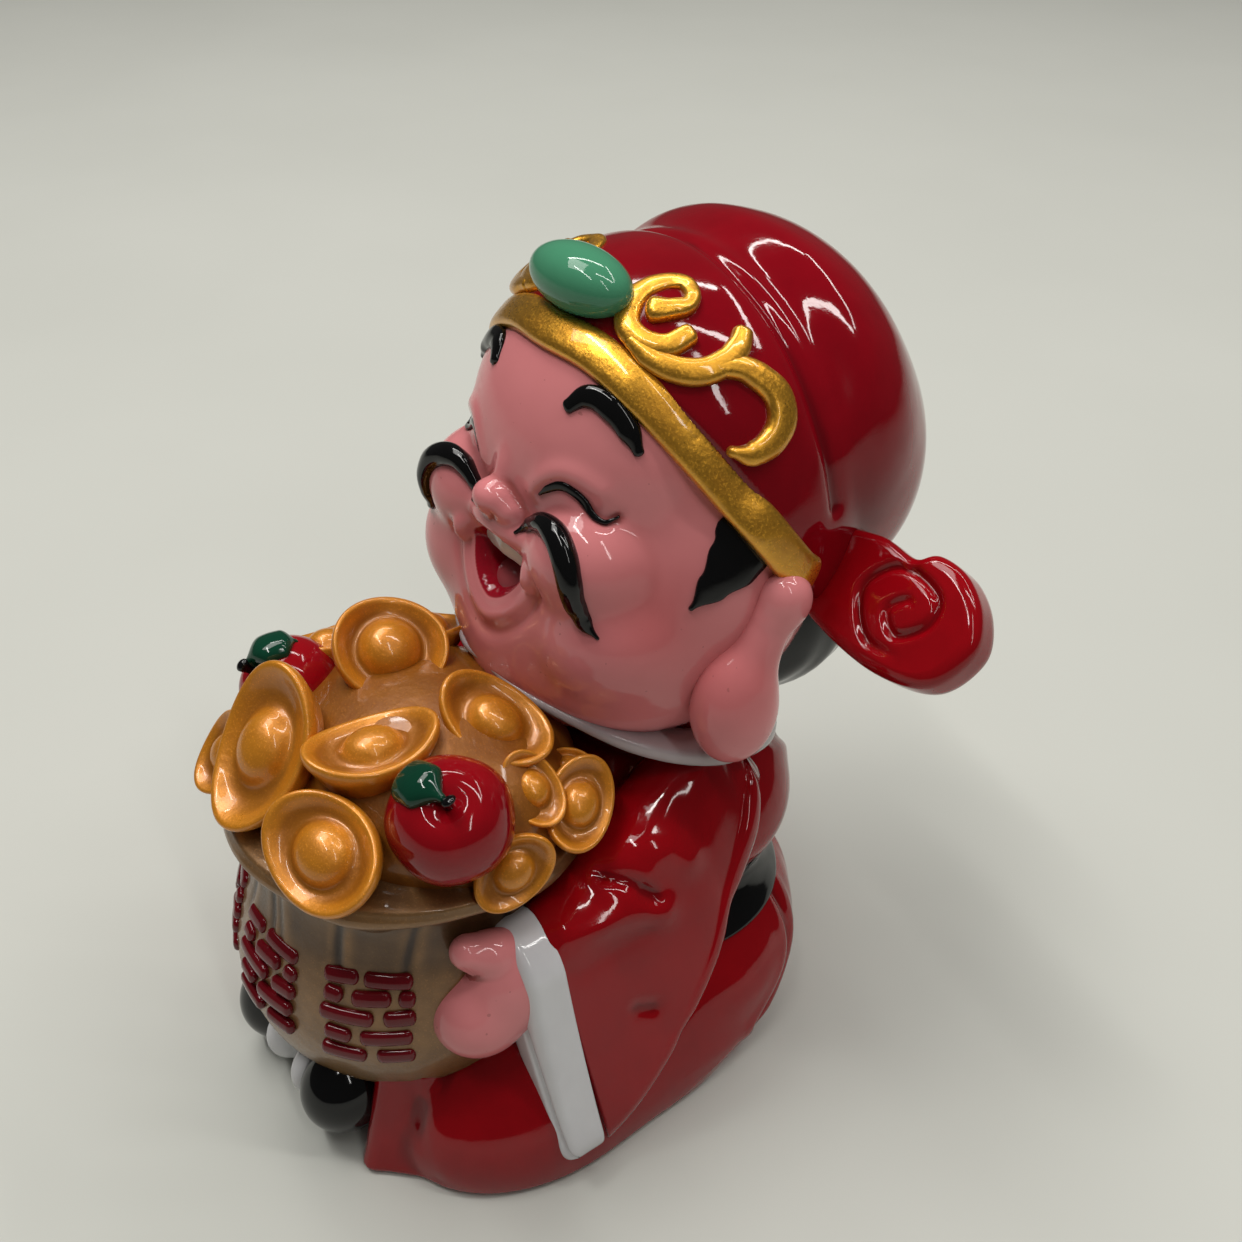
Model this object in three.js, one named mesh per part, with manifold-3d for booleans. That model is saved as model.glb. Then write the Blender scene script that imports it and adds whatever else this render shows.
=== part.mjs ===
// A moulded figure of a god of wealth: he sits back laughing, his head thrown back, and holds a sack of
// gold ingots before him. It is cast in one piece, so every form below is joined into one solid.
// Millimetres, +Z up. The figure faces -Y, its left hand is at +X, and it stands on Z = 0.
import * as THREE from 'three';
import { mergeVertices } from 'three/addons/utils/BufferGeometryUtils.js';
import Module from 'manifold-3d';

const wasm = await Module();
wasm.setup();

// Driving size. Pose, proportions and carving are written for a figure 155 high and follow HEIGHT.
const HEIGHT = 155;
const UNIT = HEIGHT / 155;
// Heights of the raised work, each set by itself
const BAND_THICKNESS = 6.2;
const SCROLL_THICKNESS = 3.6;
const STROKE_WIDTH = 3.2;
const WING_THICKNESS = 8.5;

const DEG = Math.PI / 180;
const X_AXIS = new THREE.Vector3(1, 0, 0);
const vec = (x, y, z) => new THREE.Vector3(x, y, z);
const placed = (x, y, z) => vec(x, y, z).multiplyScalar(UNIT);

// A form is an ellipsoid: middle, half-sizes, and how many degrees it leans back about the X axis.
const form = (x, y, z, a, b, c, lean = 0) => (
  { at: placed(x, y, z), half: placed(a, b, c), lean: lean * DEG });
const ball = (x, y, z, r) => form(x, y, z, r, r, r);
const mirrored = (f) => ({ ...f, at: vec(-f.at.x, f.at.y, f.at.z) });
const bothSides = (...forms) => [forms, forms.map(mirrored)];

// The head's own frame: its middle, and the backward lean of everything set on it
const HEAD = { at: placed(0, 30, 101.5), lean: 20 * DEG };
const inHead = (x, y, z) => placed(x, y, z).applyAxisAngle(X_AXIS, -HEAD.lean).add(HEAD.at);
const onHead = (x, y, z, a, b, c) => ({ at: inHead(x, y, z), half: placed(a, b, c), lean: HEAD.lean });
const alongHead = (points) => points.map((p) => inHead(...p));
const mirroredPoints = (points) => points.map((p) => vec(-p.x, p.y, p.z));
// Path on the head moved in towards the head's middle by a depth, so that a cord along it lies half sunk
const towards = (p, depth) => p.clone().lerp(HEAD.at, depth * UNIT / p.distanceTo(HEAD.at));
const sunk = (points, depth) => points.map((p) => towards(p, depth));

// Closed surface on a grid of turns and rows, with a single vertex at each pole. place(direction, turn, row)
// gives each vertex: direction on the unit sphere, turn 0..1 round it, row 0 at the top to 1 at the bottom.
function formed(around, rows, place) {
  const points = [];
  const triangles = [];
  const at = (row, turn) => (row === 0 ? 0 : 1 + (row - 1) * around + (turn % around));
  const bottom = 1 + (rows - 1) * around;
  for (let row = 0; row <= rows; row += 1) {
    const tilt = Math.PI * row / rows;
    for (let turn = 0; turn < (row % rows === 0 ? 1 : around); turn += 1) {
      const a = 2 * Math.PI * turn / around;
      const direction = vec(Math.sin(tilt) * Math.cos(a), Math.sin(tilt) * Math.sin(a), Math.cos(tilt));
      points.push(...place(direction, turn / around, row / rows).toArray());
    }
  }
  for (let row = 0; row < rows; row += 1) {
    for (let turn = 0; turn < around; turn += 1) {
      const [a, b] = [at(row, turn), at(row, turn + 1)];
      const [c, d] = row === rows - 1 ? [bottom, bottom] : [at(row + 1, turn), at(row + 1, turn + 1)];
      if (row > 0) triangles.push(a, c, b);
      if (row < rows - 1) triangles.push(b, c, d);
    }
  }
  const geometry = new THREE.BufferGeometry();
  geometry.setAttribute('position', new THREE.Float32BufferAttribute(points, 3));
  geometry.setIndex(triangles);
  return geometry;
}

// Furthest point of an ellipsoid form in direction n
function furthest(f, n) {
  const scaled = n.clone().applyAxisAngle(X_AXIS, f.lean).multiply(f.half);
  const length = scaled.length();
  const p = scaled.multiply(f.half).divideScalar(length).applyAxisAngle(X_AXIS, -f.lean).add(f.at);
  return { p, reach: p.dot(n) };
}

// Skin stretched over forms: every direction goes to the form that reaches furthest that way.
function stretched(forms, around = 16, rows = 10) {
  const furthestOf = (n) => forms.map((f) => furthest(f, n)).reduce((a, b) => (a.reach >= b.reach ? a : b)).p;
  return formed(around, rows, furthestOf);
}

// Radius at height z of a profile of [radius, height]
function radiusAt(profile, z) {
  const i = Math.max(1, profile.findIndex(([, height], k) => k > 1 && height >= z));
  const [[r0, z0], [r1, z1]] = [profile[i - 1], profile[i]];
  return THREE.MathUtils.lerp(r0, r1, (z - z0) / (z1 - z0));
}

// Turned body: profile of [radius, height] from the bottom up, about an axis that starts at y and leans back.
// Above its neck it tips, so that the lip stands higher in front.
function onTurned({ y, lean, tip, neck }, r, angle, z) {
  const raised = tip * Math.cos(angle) * Math.min(1, r / 25);
  const tipped = z + raised * THREE.MathUtils.smoothstep(z, neck[0], neck[1]);
  return placed(r * Math.sin(angle), y + lean * tipped - r * Math.cos(angle), tipped);
}
function turned(body, around = 28) {
  const rows = body.profile.length - 1;
  return formed(around, rows, (n, u, v) => {
    const [r, z] = body.profile[rows - Math.round(v * rows)];
    return onTurned(body, r, 2 * Math.PI * u, z);
  });
}

// Round cord along a smooth curve through points. Thickness is its full width, shares its taper on the way.
function cord(points, thickness, shares, sides = 6, steps = 14) {
  const curve = new THREE.CatmullRomCurve3(points, false, 'centripetal');
  const last = shares.length - 1;
  const frames = curve.computeFrenetFrames(steps, false);
  return formed(sides, steps, (n, u, v) => {
    const i = Math.min(Math.floor(v * last), last - 1);
    const share = v < 1e-6 || v > 1 - 1e-6 ? 0 : THREE.MathUtils.lerp(shares[i], shares[i + 1], v * last - i);
    const r = thickness / 2 * share * UNIT;
    const k = Math.round(v * steps);
    const a = 2 * Math.PI * u;
    const across = frames.normals[k].clone().multiplyScalar(r * Math.cos(a));
    return curve.getPointAt(v).add(across).addScaledVector(frames.binormals[k], r * Math.sin(a));
  });
}
const cordOnBothSides = (points, ...rest) => [cord(points, ...rest), cord(mirroredPoints(points), ...rest)];

// Robe: a squat bell, drawn in at the belt, with the knees pushed out in front, and the skirt's two tails
const CHEST = [form(0, 28, 72, 27, 20, 10), form(0, 29, 48, 38.5, 28, 20)];
const SKIRT = [form(0, 21.1, 17.1, 48.1, 36.1, 22.4), form(0, 16.7, 6.5, 48.1, 36.9, 8.8)];
const KNEES = bothSides(form(27.8, -13.4, 4, 21.8, 31.1, 23.5), form(33.7, 7.3, 5.9, 15.9, 22.5, 20));
const TAILS = bothSides(
  ball(23.5, -48.4, 1, 2.6), ball(21, -42, 20, 2.6), ball(25.5, -37.5, 21.5, 2.6), ball(34, -38.5, 1, 2.6),
);
const SLEEVES = bothSides(
  form(26, 28, 60, 13, 13, 13), ball(33, -11, 46.5, 8.5), ball(38, -12, 31, 8), ball(45.9, -12, 9, 4.7),
  ball(46.8, -6.8, 15, 4.6), ball(46.4, 2.8, 25.5, 4.6), ball(38, 26, 55, 5),
);
const CUFFS = bothSides(ball(32.3, -19.5, 45.5, 8.4), ball(37.4, -20, 30, 6.6), ball(45, -19.5, 10.4, 5.6));
const PALMS = bothSides(form(33, -21.5, 43, 7.2, 8.5, 9.4), form(31, -27.4, 37.4, 8.2, 9, 8.6));
const THUMBS = bothSides(ball(32.5, -19, 48.5, 4.2), ball(32, -24.5, 51.3, 3.8), ball(30.4, -28.6, 53, 3.1));
const COLLAR = [form(0, 23, 73, 34.3, 28.6, 2.4, 24), form(0, 23, 71, 34.3, 28.6, 2.4, 24)];
const BELT = [form(0, 27, 33, 41.5, 31.5, 7)];
const SHOES = bothSides(form(13, -48.5, 10.8, 8, 9, 9.4));
const SOLES = bothSides(form(5.2, -48.5, 9.6, 3.6, 7.8, 8.4));
const ANKLES = bothSides(form(14, -36, 11, 9, 9, 9));

// Sack, leaning back a little, with a rolled lip, and the heap of treasure that rises out of it
const SACK = {
  y: -26,
  lean: 0.09,
  tip: 4.4,
  neck: [42, 58],
  profile: [
    [0, 7], [13, 7], [23, 10.5], [30, 19], [33, 31], [31.8, 43], [29.2, 50], [28.3, 55], [30.8, 59.2],
    [33.2, 62], [31, 64.2], [0, 64.4],
  ],
};
const HEAP = form(0, -17, 66, 30, 26.5, 18);
const APPLES = [ball(24, -25.5, 77.5, 10.3), ball(-25.5, -29.5, 75, 9)];

// Ingots: middle, the way the dish faces (degrees round from the front towards +X, then degrees up), turn of
// its long axis in that plane, half-length and half-width
const INGOTS = [
  [-13, -15, 83.5, 80, 52, -23, 10.8, 10.2], [-8, -41, 78.5, 15, 44, 100, 15.3, 10],
  [7, -29.5, 81.5, -111, 86, -170, 12.2, 8.4], [11.5, -9, 80, 95, 62, -70, 11.4, 8],
  [15, -43, 73.5, 28, 52, -25, 12, 10.2], [23.5, -9.5, 74, 76, 50, -75, 7.4, 5.2],
  [27.5, -3, 69.5, 84, 48, 51, 9, 6.4], [31.2, -19, 67.5, 70, 28, 32, 8, 5.8],
  [-21, -44, 69.5, 5, 38, 85, 8.5, 6.5], [-28, -20, 77.5, -110, 70, -160, 8, 6.5],
  [-19, -3.5, 79, -150, 70, -160, 8, 6.5], [21, -0.5, 71.5, 74, 51, -15, 5, 4],
  [-31, -13, 68, -80, 30, 30, 9, 7], [-27.5, -2, 67, -95, 45, -50, 9, 6.5],
  [-33, -26, 64, -60, 20, 60, 7, 5.5],
];
// Boat-shaped ingot: [share of the half-size, share of the half-width up]; the ends of the long axis rise.
const INGOT_PROFILE = [[0, -0.65], [0.85, -0.45], [1, 0.2], [0.62, 0.1], [0.44, 0.4], [0, 0.6]];
const INGOT_RISE = 0.3;
const BOSS_SHARE = 0.5;
function ingot([x, y, z, lon, lat, turn, a, b]) {
  const [p, q] = [lon * DEG, lat * DEG];
  const out = vec(Math.sin(p) * Math.cos(q), -Math.cos(p) * Math.cos(q), Math.sin(q));
  const across = vec(Math.cos(p), Math.sin(p), 0);
  const basis = new THREE.Matrix4().makeBasis(across, out.clone().cross(across), out);
  const rows = INGOT_PROFILE.length - 1;
  return formed(a > 10 ? 9 : 7, rows, (n, u, v) => {
    const [share, up] = INGOT_PROFILE[rows - Math.round(v * rows)];
    const boss = share < BOSS_SHARE && up > 0;
    const long = share * Math.cos(2 * Math.PI * u);
    const wide = share * Math.sin(2 * Math.PI * u);
    const rise = share > BOSS_SHARE ? INGOT_RISE * long * long : 0;
    const half = boss ? THREE.MathUtils.lerp(a, b, 0.55) : a;
    return placed(half * long, b * wide, b * (up + rise)).applyAxisAngle(vec(0, 0, 1), turn * DEG)
      .applyMatrix4(basis).add(placed(x, y, z));
  });
}

// Raised strokes in three patches round the sack's front: rows of dashes, [along, up] at each end of a dash
const STROKE_PATCHES = [-35, 5, 45];
const STROKES = [
  [-7.4, 8.2, -2.6, 8.6], [0.2, 8.4, 7.2, 8], [-7, 4.4, -5.2, 4.2], [-1.8, 4.2, 3.4, 4.5],
  [6.4, 4.4, 7.6, 4.2], [-7.6, 0.2, 0.4, 0], [3.8, 0.2, 7.6, 0.4], [-6.6, -4, -3.4, -4.2],
  [-0.2, -4.2, 7, -3.8], [-7.2, -8.2, -0.8, -8.4], [2.6, -8.2, 7.4, -8],
];
const STROKE_MIDDLE = 40.5;
function strokes() {
  return STROKE_PATCHES.flatMap((lon) => STROKES.map(([s0, z0, s1, z1]) => {
    const point = (t) => {
      const z = STROKE_MIDDLE + THREE.MathUtils.lerp(z0, z1, t);
      const r = radiusAt(SACK.profile, z) - 0.2;
      return onTurned(SACK, r, lon * DEG + THREE.MathUtils.lerp(s0, s1, t) / r, z);
    };
    return cord([point(-0.1), point(0.5), point(1.1)], STROKE_WIDTH, [0.8, 1, 0.8], 4, 3);
  }));
}

// Head: a broad skull with a full forehead, two cheek folds, a chin, a small button nose and an upper lip
const SKULL = [
  onHead(0, 2, 0, 38, 29, 40), onHead(0, -11.5, 17.5, 27, 21, 25.5), onHead(0, -6, -12, 34, 22, 27),
  onHead(0, -14, -24, 14, 11, 12),
];
const CHEEKS = [1, -1].map((side) => [
  onHead(side * 15, -19, 0, 12, 13, 11), onHead(side * 17, -14, -12, 15, 13.5, 14),
]);
const CHIN = [onHead(0, -19, -21.5, 8.5, 6.5, 5.5)];
const LIP = [onHead(0, -27.5, -0.4, 9, 4.6, 3.6)];
const NOSE = [
  onHead(0, -31.2, 4.2, 4, 4.3, 3.3), onHead(0, -29, 9, 2.6, 3.5, 5),
  onHead(3.3, -30.4, 3, 2.3, 2.6, 2.1), onHead(-3.3, -30.4, 3, 2.3, 2.6, 2.1),
];
const MOUTH = [
  onHead(7, -30, -5.2, 1.6, 10, 1.6), onHead(-7, -30, -5.2, 1.6, 10, 1.6), onHead(0, -30, -5, 5, 10, 2.6),
  onHead(0, -30, -12.6, 2.6, 9, 2.6),
];
const TEETH = [onHead(0, -25, -4.2, 6.5, 4, 2.8)];
const HAIR = [form(0, 48, 87, 35, 26, 25)];
const EARS = bothSides(form(39.5, 31, 105, 4.2, 4.5, 5), ball(38.3, 24.5, 92, 4.6));
const LOBES = bothSides(form(38, 22.5, 85.5, 7, 8, 11));
const BROW = sunk(alongHead([
  [10.4, -31.4, 24.8], [12.2, -30, 27.2], [14.7, -28.7, 27.6], [17.8, -27.3, 26.4], [20.4, -26.1, 24.3],
  [22.1, -25, 22],
]), 1);
const MOUSTACHE = sunk(alongHead([
  [6.7, -33.5, 0.8], [8.6, -32.7, 3], [12.5, -32.5, 5.2], [16.7, -32.7, 5], [20.1, -32.6, 2.7],
  [22, -31.9, -0.7], [22.9, -30.3, -4.5], [24.2, -28.1, -7.9], [26.6, -26.6, -9.5],
]), 1.4);

// Hat: the front dome puffs out over the band, and the taller crown stands behind it
const HAT_FRONT = [onHead(0, 5, 8, 39.4, 32, 35), onHead(0, 1.5, 24.5, 32.5, 31.5, 26)];
const HAT_CROWN = [form(0, 53.6, 118.9, 37.6, 24.4, 32.1, 6.5), form(0, 61.6, 106.2, 34.2, 20.3, 29.8, 25.5)];
// Planes the two forms of the hat are cut to: the brim above the band, and the crown's edge over the hair
const edge = (at, slope) => ({ at, normal: vec(0, Math.sin(slope), Math.cos(slope)) });
const BRIM = edge(inHead(0, -22, 30.5), 42 * DEG + HEAD.lean);
const CROWN_EDGE = edge(placed(0, 39, 103), 14.5 * DEG);
const BAND_SIDE = [
  [9.4, -26.6, 32.3], [18.1, -23.4, 29.3], [25.5, -17.3, 23.8], [31.3, -10.9, 18.2], [35.4, -6.9, 14.7],
  [38.8, 0.4, 9], [39.3, 2.6, 8.1],
];
const BAND = sunk(alongHead([
  ...BAND_SIDE.map(([x, y, z]) => [-x, y, z]).reverse(), [0, -28.1, 32.7], ...BAND_SIDE,
]), 1);
const JEWEL = [onHead(0, -25.6, 41.3, 10.4, 6.8, 5.4)];
const SCROLLS = [
  [[12.1, -20, 40.4], [13.7, -18.4, 41.2], [14.9, -16.4, 42.5], [14, -15, 43.9], [11.5, -14.6, 45.2],
    [9.3, -16.3, 44.8], [8, -19.3, 42.7], [8.8, -21.7, 39.9], [11.1, -23, 37.1], [14.5, -22.3, 36],
    [17.3, -20.2, 36.6], [18.3, -17.6, 38.9]],
  [[13.1, -23.2, 35.4], [17.1, -21.9, 34.3], [20.6, -19.6, 34.1], [23, -16.9, 35.1], [23.9, -14, 37.2],
    [23.5, -12, 39.4], [22.4, -10.8, 41.3]],
  [[23.2, -15.2, 35.6], [25.4, -12.6, 36.9], [27.7, -9.8, 36.3], [30.2, -7.4, 34.6], [32.3, -6.9, 31.4],
    [33.2, -8.7, 28], [32.5, -11.5, 25.7], [30.8, -14.2, 25.4]],
].map((path) => sunk(alongHead(path), 1.2));

// Wings: a thick scrolled plate at each side of the hat, in a plane that leans back, with a spiral groove
const WING = {
  at: placed(45.2, 43.6, 104.4),
  slope: 42 * DEG,
  outline: [
    [-14, 5], [-4.4, 8.9], [3.6, 8.6], [7.3, 11], [13.4, 10.3], [19, 6.2], [21.6, 0], [18, -7.9],
    [7.8, -10.7], [-6.4, -9], [-14, -5],
  ],
  groove: [
    [10, 1.2], [7.6, 2.1], [5.6, -1], [9.3, -3.6], [13.1, 0.4], [11.6, 5.2], [3.3, 6.4], [-0.9, 0.3],
    [4.6, -6.4], [12.8, -6.4],
  ],
};
const GROOVE_WIDTH = 1.8;
const onWing = (geometry) => geometry.rotateX(Math.PI / 2 - WING.slope).translate(...WING.at);
function wing() {
  const points = WING.outline.map(([u, w]) => new THREE.Vector2(u, w).multiplyScalar(UNIT));
  const shape = new THREE.Shape(new THREE.SplineCurve([...points, points[0]]).getPoints(16).slice(0, -1));
  const bevel = 1.2 * UNIT;
  const depth = WING_THICKNESS * UNIT;
  const plate = new THREE.ExtrudeGeometry(shape, {
    depth: depth - 2 * bevel, bevelEnabled: true, bevelSize: bevel, bevelThickness: bevel,
    bevelOffset: -bevel, bevelSegments: 1,
  });
  const groove = cord(WING.groove.map(([u, w]) => placed(u, w, 0)), GROOVE_WIDTH, [0.5, 1, 1, 1, 0.5], 4, 13);
  return [onWing(plate.translate(0, 0, bevel - depth)), onWing(groove)];
}

// Solid body of a closed surface, with its triangles wound outwards
function solid(geometry) {
  const bare = geometry.attributes.uv && geometry.deleteAttribute('normal').deleteAttribute('uv');
  const closed = bare ? mergeVertices(bare, 1e-4) : geometry;
  const vertProperties = closed.attributes.position.array;
  const triVerts = new Uint32Array(closed.index.array);
  const made = new wasm.Manifold(new wasm.Mesh({ numProp: 3, vertProperties, triVerts }));
  if (made.volume() > 0) return made;
  return new wasm.Manifold(new wasm.Mesh({ numProp: 3, vertProperties, triVerts: triVerts.reverse() }));
}
const joined = (solids) => solids.reduce((a, b) => a.add(b));
const skin = (forms, around, rows) => solid(stretched(forms, around, rows));
const skins = (sides, around, rows) => sides.map((forms) => skin(forms, around, rows));
const cords = (points, ...rest) => cordOnBothSides(points, ...rest).map(solid);
const above = (body, { at, normal }) => body.trimByPlane(normal.toArray(), normal.dot(at));

function head() {
  const face = joined([skin(SKULL, 16, 11), ...skins(CHEEKS, 9, 6), skin(CHIN, 8, 5), skin(LIP, 8, 5)]);
  const laughing = face.subtract(skin(MOUTH, 10, 6)).add(skin(TEETH, 8, 4));
  const ears = [...skins(EARS, 7, 6), ...skins(LOBES, 9, 6)];
  const brows = cords(BROW, 3.8, [0.3, 0.8, 1, 1, 0.8], 4, 5);
  const moustaches = cords(MOUSTACHE, 4.4, [0.3, 0.8, 1, 1, 1, 0.8, 0.3], 4, 10);
  return [laughing, skin(NOSE, 8, 6), skin(HAIR, 10, 6), ...ears, ...brows, ...moustaches];
}

function hat() {
  const domes = [above(skin(HAT_FRONT, 18, 10), BRIM), above(skin(HAT_CROWN, 16, 11), CROWN_EDGE)];
  const band = solid(cord(BAND, BAND_THICKNESS, BAND.map(() => 1), 5, 14));
  const scrolls = SCROLLS.flatMap((path) => cords(path, SCROLL_THICKNESS, [0.8, 1, 1, 0.8], 4, 7));
  const [plate, groove] = wing().map(solid);
  const wings = plate.subtract(groove);
  return [...domes, skin(JEWEL, 10, 6), band, ...scrolls, wings, wings.mirror([1, 0, 0])];
}

function figure() {
  const robe = [skin(CHEST, 16, 9), skin(SKIRT, 18, 8), ...skins(KNEES, 11, 7), ...skins(TAILS, 6, 6)];
  const hands = [...skins(PALMS, 9, 6), ...skins(THUMBS, 7, 5)];
  const arms = [...skins(SLEEVES, 11, 8), ...skins(CUFFS, 9, 6), ...hands];
  const trims = [skin(COLLAR, 16, 4), skin(BELT, 18, 6)];
  const feet = [...skins(ANKLES, 7, 5), ...skins(SHOES, 9, 6), ...skins(SOLES, 8, 5)];
  const sack = [solid(turned(SACK, 22)), ...strokes().map(solid)];
  const apples = APPLES.map((apple) => skin([apple], 9, 7));
  const treasure = [skin([HEAP], 12, 6), ...INGOTS.map(ingot).map(solid), ...apples];
  const whole = joined([...robe, ...arms, ...trims, ...feet, ...head(), ...hat(), ...sack, ...treasure]);
  return whole.trimByPlane([0, 0, 1], 0);
}

function meshOf(name, body, look) {
  const { vertProperties, triVerts } = body.getMesh();
  const geometry = new THREE.BufferGeometry();
  geometry.setAttribute('position', new THREE.BufferAttribute(vertProperties, 3));
  geometry.setIndex(new THREE.BufferAttribute(triVerts, 1));
  const mesh = new THREE.Mesh(geometry, new THREE.MeshStandardMaterial(look));
  mesh.name = name;
  return mesh;
}

const caishen = new THREE.Group();
caishen.add(meshOf('caishen_figure', figure(), { color: '#a80f1c', roughness: 0.2, metalness: 0 }));
export default caishen;
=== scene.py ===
"""A moulded figure of a god of wealth: he sits back laughing and holds a sack of gold ingots before him.

Shapes are worked out in millimetres, +Z up, in the CAD frame: he faces -Y and his left hand is at +X.
Round forms are distance fields, blended where they meet. A closed surface over them is a function of two
parameters: rays start on an axis inside the form, and each goes out to where it leaves the form for good.
Relief such as brows, scrolls and strokes is a section carried along a path that lies on such a surface.
"""

import bpy
import numpy as np
from mathutils import Matrix


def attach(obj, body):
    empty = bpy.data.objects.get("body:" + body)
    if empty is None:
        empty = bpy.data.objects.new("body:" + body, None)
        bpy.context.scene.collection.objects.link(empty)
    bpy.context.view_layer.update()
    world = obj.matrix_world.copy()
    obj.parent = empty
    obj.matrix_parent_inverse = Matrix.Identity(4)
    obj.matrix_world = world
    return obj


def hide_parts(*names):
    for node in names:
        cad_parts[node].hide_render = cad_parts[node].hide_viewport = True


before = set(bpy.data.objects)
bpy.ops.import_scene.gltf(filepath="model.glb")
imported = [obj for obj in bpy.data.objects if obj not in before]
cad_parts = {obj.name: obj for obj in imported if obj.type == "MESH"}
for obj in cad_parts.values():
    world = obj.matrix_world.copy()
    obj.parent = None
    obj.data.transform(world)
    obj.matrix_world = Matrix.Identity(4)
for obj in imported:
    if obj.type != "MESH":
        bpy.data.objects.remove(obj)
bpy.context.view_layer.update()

MM = 0.001
NODE = "caishen_figure"
HEAD = np.array([0.0, 30.0, 101.5])
HEAD_LEAN = 20.0
OTHER_SIDE = np.array([-1, 1, 1])


# Vectors, frames and paths

def unit(v):
    """Vectors at length one."""
    return v / (np.linalg.norm(v, axis=-1, keepdims=True) + 1e-12)


def axes_of(lean=0.0, turn=0.0):
    """Rows are the axes of a form that leans back by lean degrees about X and is then turned about Z."""
    a, b = np.radians(lean), np.radians(turn)
    back = np.array([[1, 0, 0], [0, np.cos(a), -np.sin(a)], [0, np.sin(a), np.cos(a)]])
    spin = np.array([[np.cos(b), np.sin(b), 0], [-np.sin(b), np.cos(b), 0], [0, 0, 1]])
    return back @ spin


HEAD_AXES = axes_of(HEAD_LEAN)


def from_head(points):
    """World places of points given in the head's own frame."""
    return HEAD + np.asarray(points, float) @ HEAD_AXES


def to_head(points):
    """Points in the head's own frame."""
    return (points - HEAD) @ HEAD_AXES.T


def pair(points):
    """Points of the +X side, and their twins on the other."""
    return [points, points * OTHER_SIDE]


def head_pair(path):
    """A path given in the head's frame, and its twin on the other side."""
    return [from_head(side) for side in pair(np.array(path, float))]


def folded(points):
    """The points, with those of the -X side moved to their twins at +X."""
    return points * np.where(points[..., :1] < 0, OTHER_SIDE, [1, 1, 1])


def smooth(points, count, closed=False):
    """Points at even steps along a smooth curve: cubic pieces whose slope is the chord between neighbours."""
    p = np.asarray(points, float)
    ends = (p[-1:], p[:2]) if closed else (2 * p[:1] - p[1:2], 2 * p[-1:] - p[-2:-1])
    p = np.vstack([ends[0], p, ends[1]])
    t = np.linspace(0, len(p) - 3, 40 * len(p))
    k = np.minimum(t.astype(int), len(p) - 4)
    u = (t - k)[:, None]
    a, b, c, d = p[k], p[k + 1], p[k + 2], p[k + 3]
    curve = b + u * ((c - a) + u * ((2 * a - 5 * b + 4 * c - d) + u * (3 * (b - c) + d - a))) / 2
    length = np.append(0, np.cumsum(np.linalg.norm(np.diff(curve[:, :3], axis=0), axis=1)))
    even = np.linspace(0, length[-1], count + 1 if closed else count)[:count]
    return np.stack([np.interp(even, length, curve[:, i]) for i in range(p.shape[1])], axis=1)


def shares(values, count):
    """One number, or several spread evenly along a way of count steps and eased between each two."""
    v = np.asarray(values, float) if np.ndim(values) else np.full(2, float(values))
    t = np.linspace(0, len(v) - 1, count)
    k = np.minimum(t.astype(int), len(v) - 2)
    u = t - k
    return v[k] + (v[k + 1] - v[k]) * u * u * (3 - 2 * u)


def step(low, high, x):
    """Eased step from 0 at low to 1 at high."""
    t = np.clip((x - low) / (high - low), 0, 1)
    return t * t * (3 - 2 * t)


def hump(x, middle, width):
    """Bell that is 1 at middle and falls away over width."""
    return np.exp(-((x - middle) / width) ** 2)


def near(points, path):
    """Distance of each point to the nearest piece of a path, and how far along the path that is, 0 to 1."""
    best = np.full(points.shape[:-1], 1e9)
    where = np.zeros(points.shape[:-1])
    for k in range(len(path) - 1):
        a, d = path[k], path[k + 1] - path[k]
        t = np.clip((points - a) @ d / (d @ d + 1e-12), 0, 1)
        far = np.linalg.norm(points - a - t[..., None] * d, axis=-1)
        where = np.where(far < best, (k + t) / (len(path) - 1), where)
        best = np.minimum(best, far)
    return best, where


# Distance fields

def egg(middle, half, lean=0.0, turn=0.0):
    """Near distance to an ellipsoid: its scaled radius less one, over how fast that radius grows."""
    axes = axes_of(lean, turn)
    middle, half = np.array(middle, float), np.array(half, float)

    def field(p):
        q = (p - middle) @ axes.T / half
        size = np.sqrt((q * q).sum(-1))
        grows = np.sqrt(((q / half) ** 2).sum(-1)) + 1e-9
        return size * (size - 1) / grows
    return field


def head_egg(x, y, z, a, b, c):
    """Ellipsoid in the head's own frame."""
    return egg(from_head([x, y, z]), (a, b, c), HEAD_LEAN)


def rod(start, end, r0, r1):
    """Distance to a straight round rod whose radius runs from r0 to r1."""
    start, end = np.array(start, float), np.array(end, float)
    along = end - start

    def field(p):
        t = np.clip((p - start) @ along / (along @ along), 0, 1)
        return np.linalg.norm(p - start - t[..., None] * along, axis=-1) - (r0 + (r1 - r0) * t)
    return field


def flap(a, b, c, radius):
    """Distance to a flat three-cornered flap of cloth with rounded edges."""
    a, b, c = (np.array(corner, float) for corner in (a, b, c))
    face_way = unit(np.cross(b - a, c - a))
    sides = ((a, b), (b, c), (c, a))
    hems = [rod(start, end, radius, radius) for start, end in sides]

    def field(p):
        within = [(p - start) @ np.cross(face_way, end - start) > 0 for start, end in sides]
        flat = np.abs((p - a) @ face_way) - radius
        return np.where(np.logical_and.reduce(within), flat, np.minimum.reduce([hem(p) for hem in hems]))
    return field


def blend(a, b, soft):
    """Lesser of two distances, rounded over the width soft where they meet."""
    h = np.clip(soft - np.abs(a - b), 0, None) / soft
    return np.minimum(a, b) - h * h * h * soft / 6


def melt(fields, soft):
    """Union of fields, rounded in the creases between them."""
    def field(p):
        total = fields[0](p)
        for other in fields[1:]:
            total = blend(total, other(p), soft)
        return total
    return field


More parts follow.
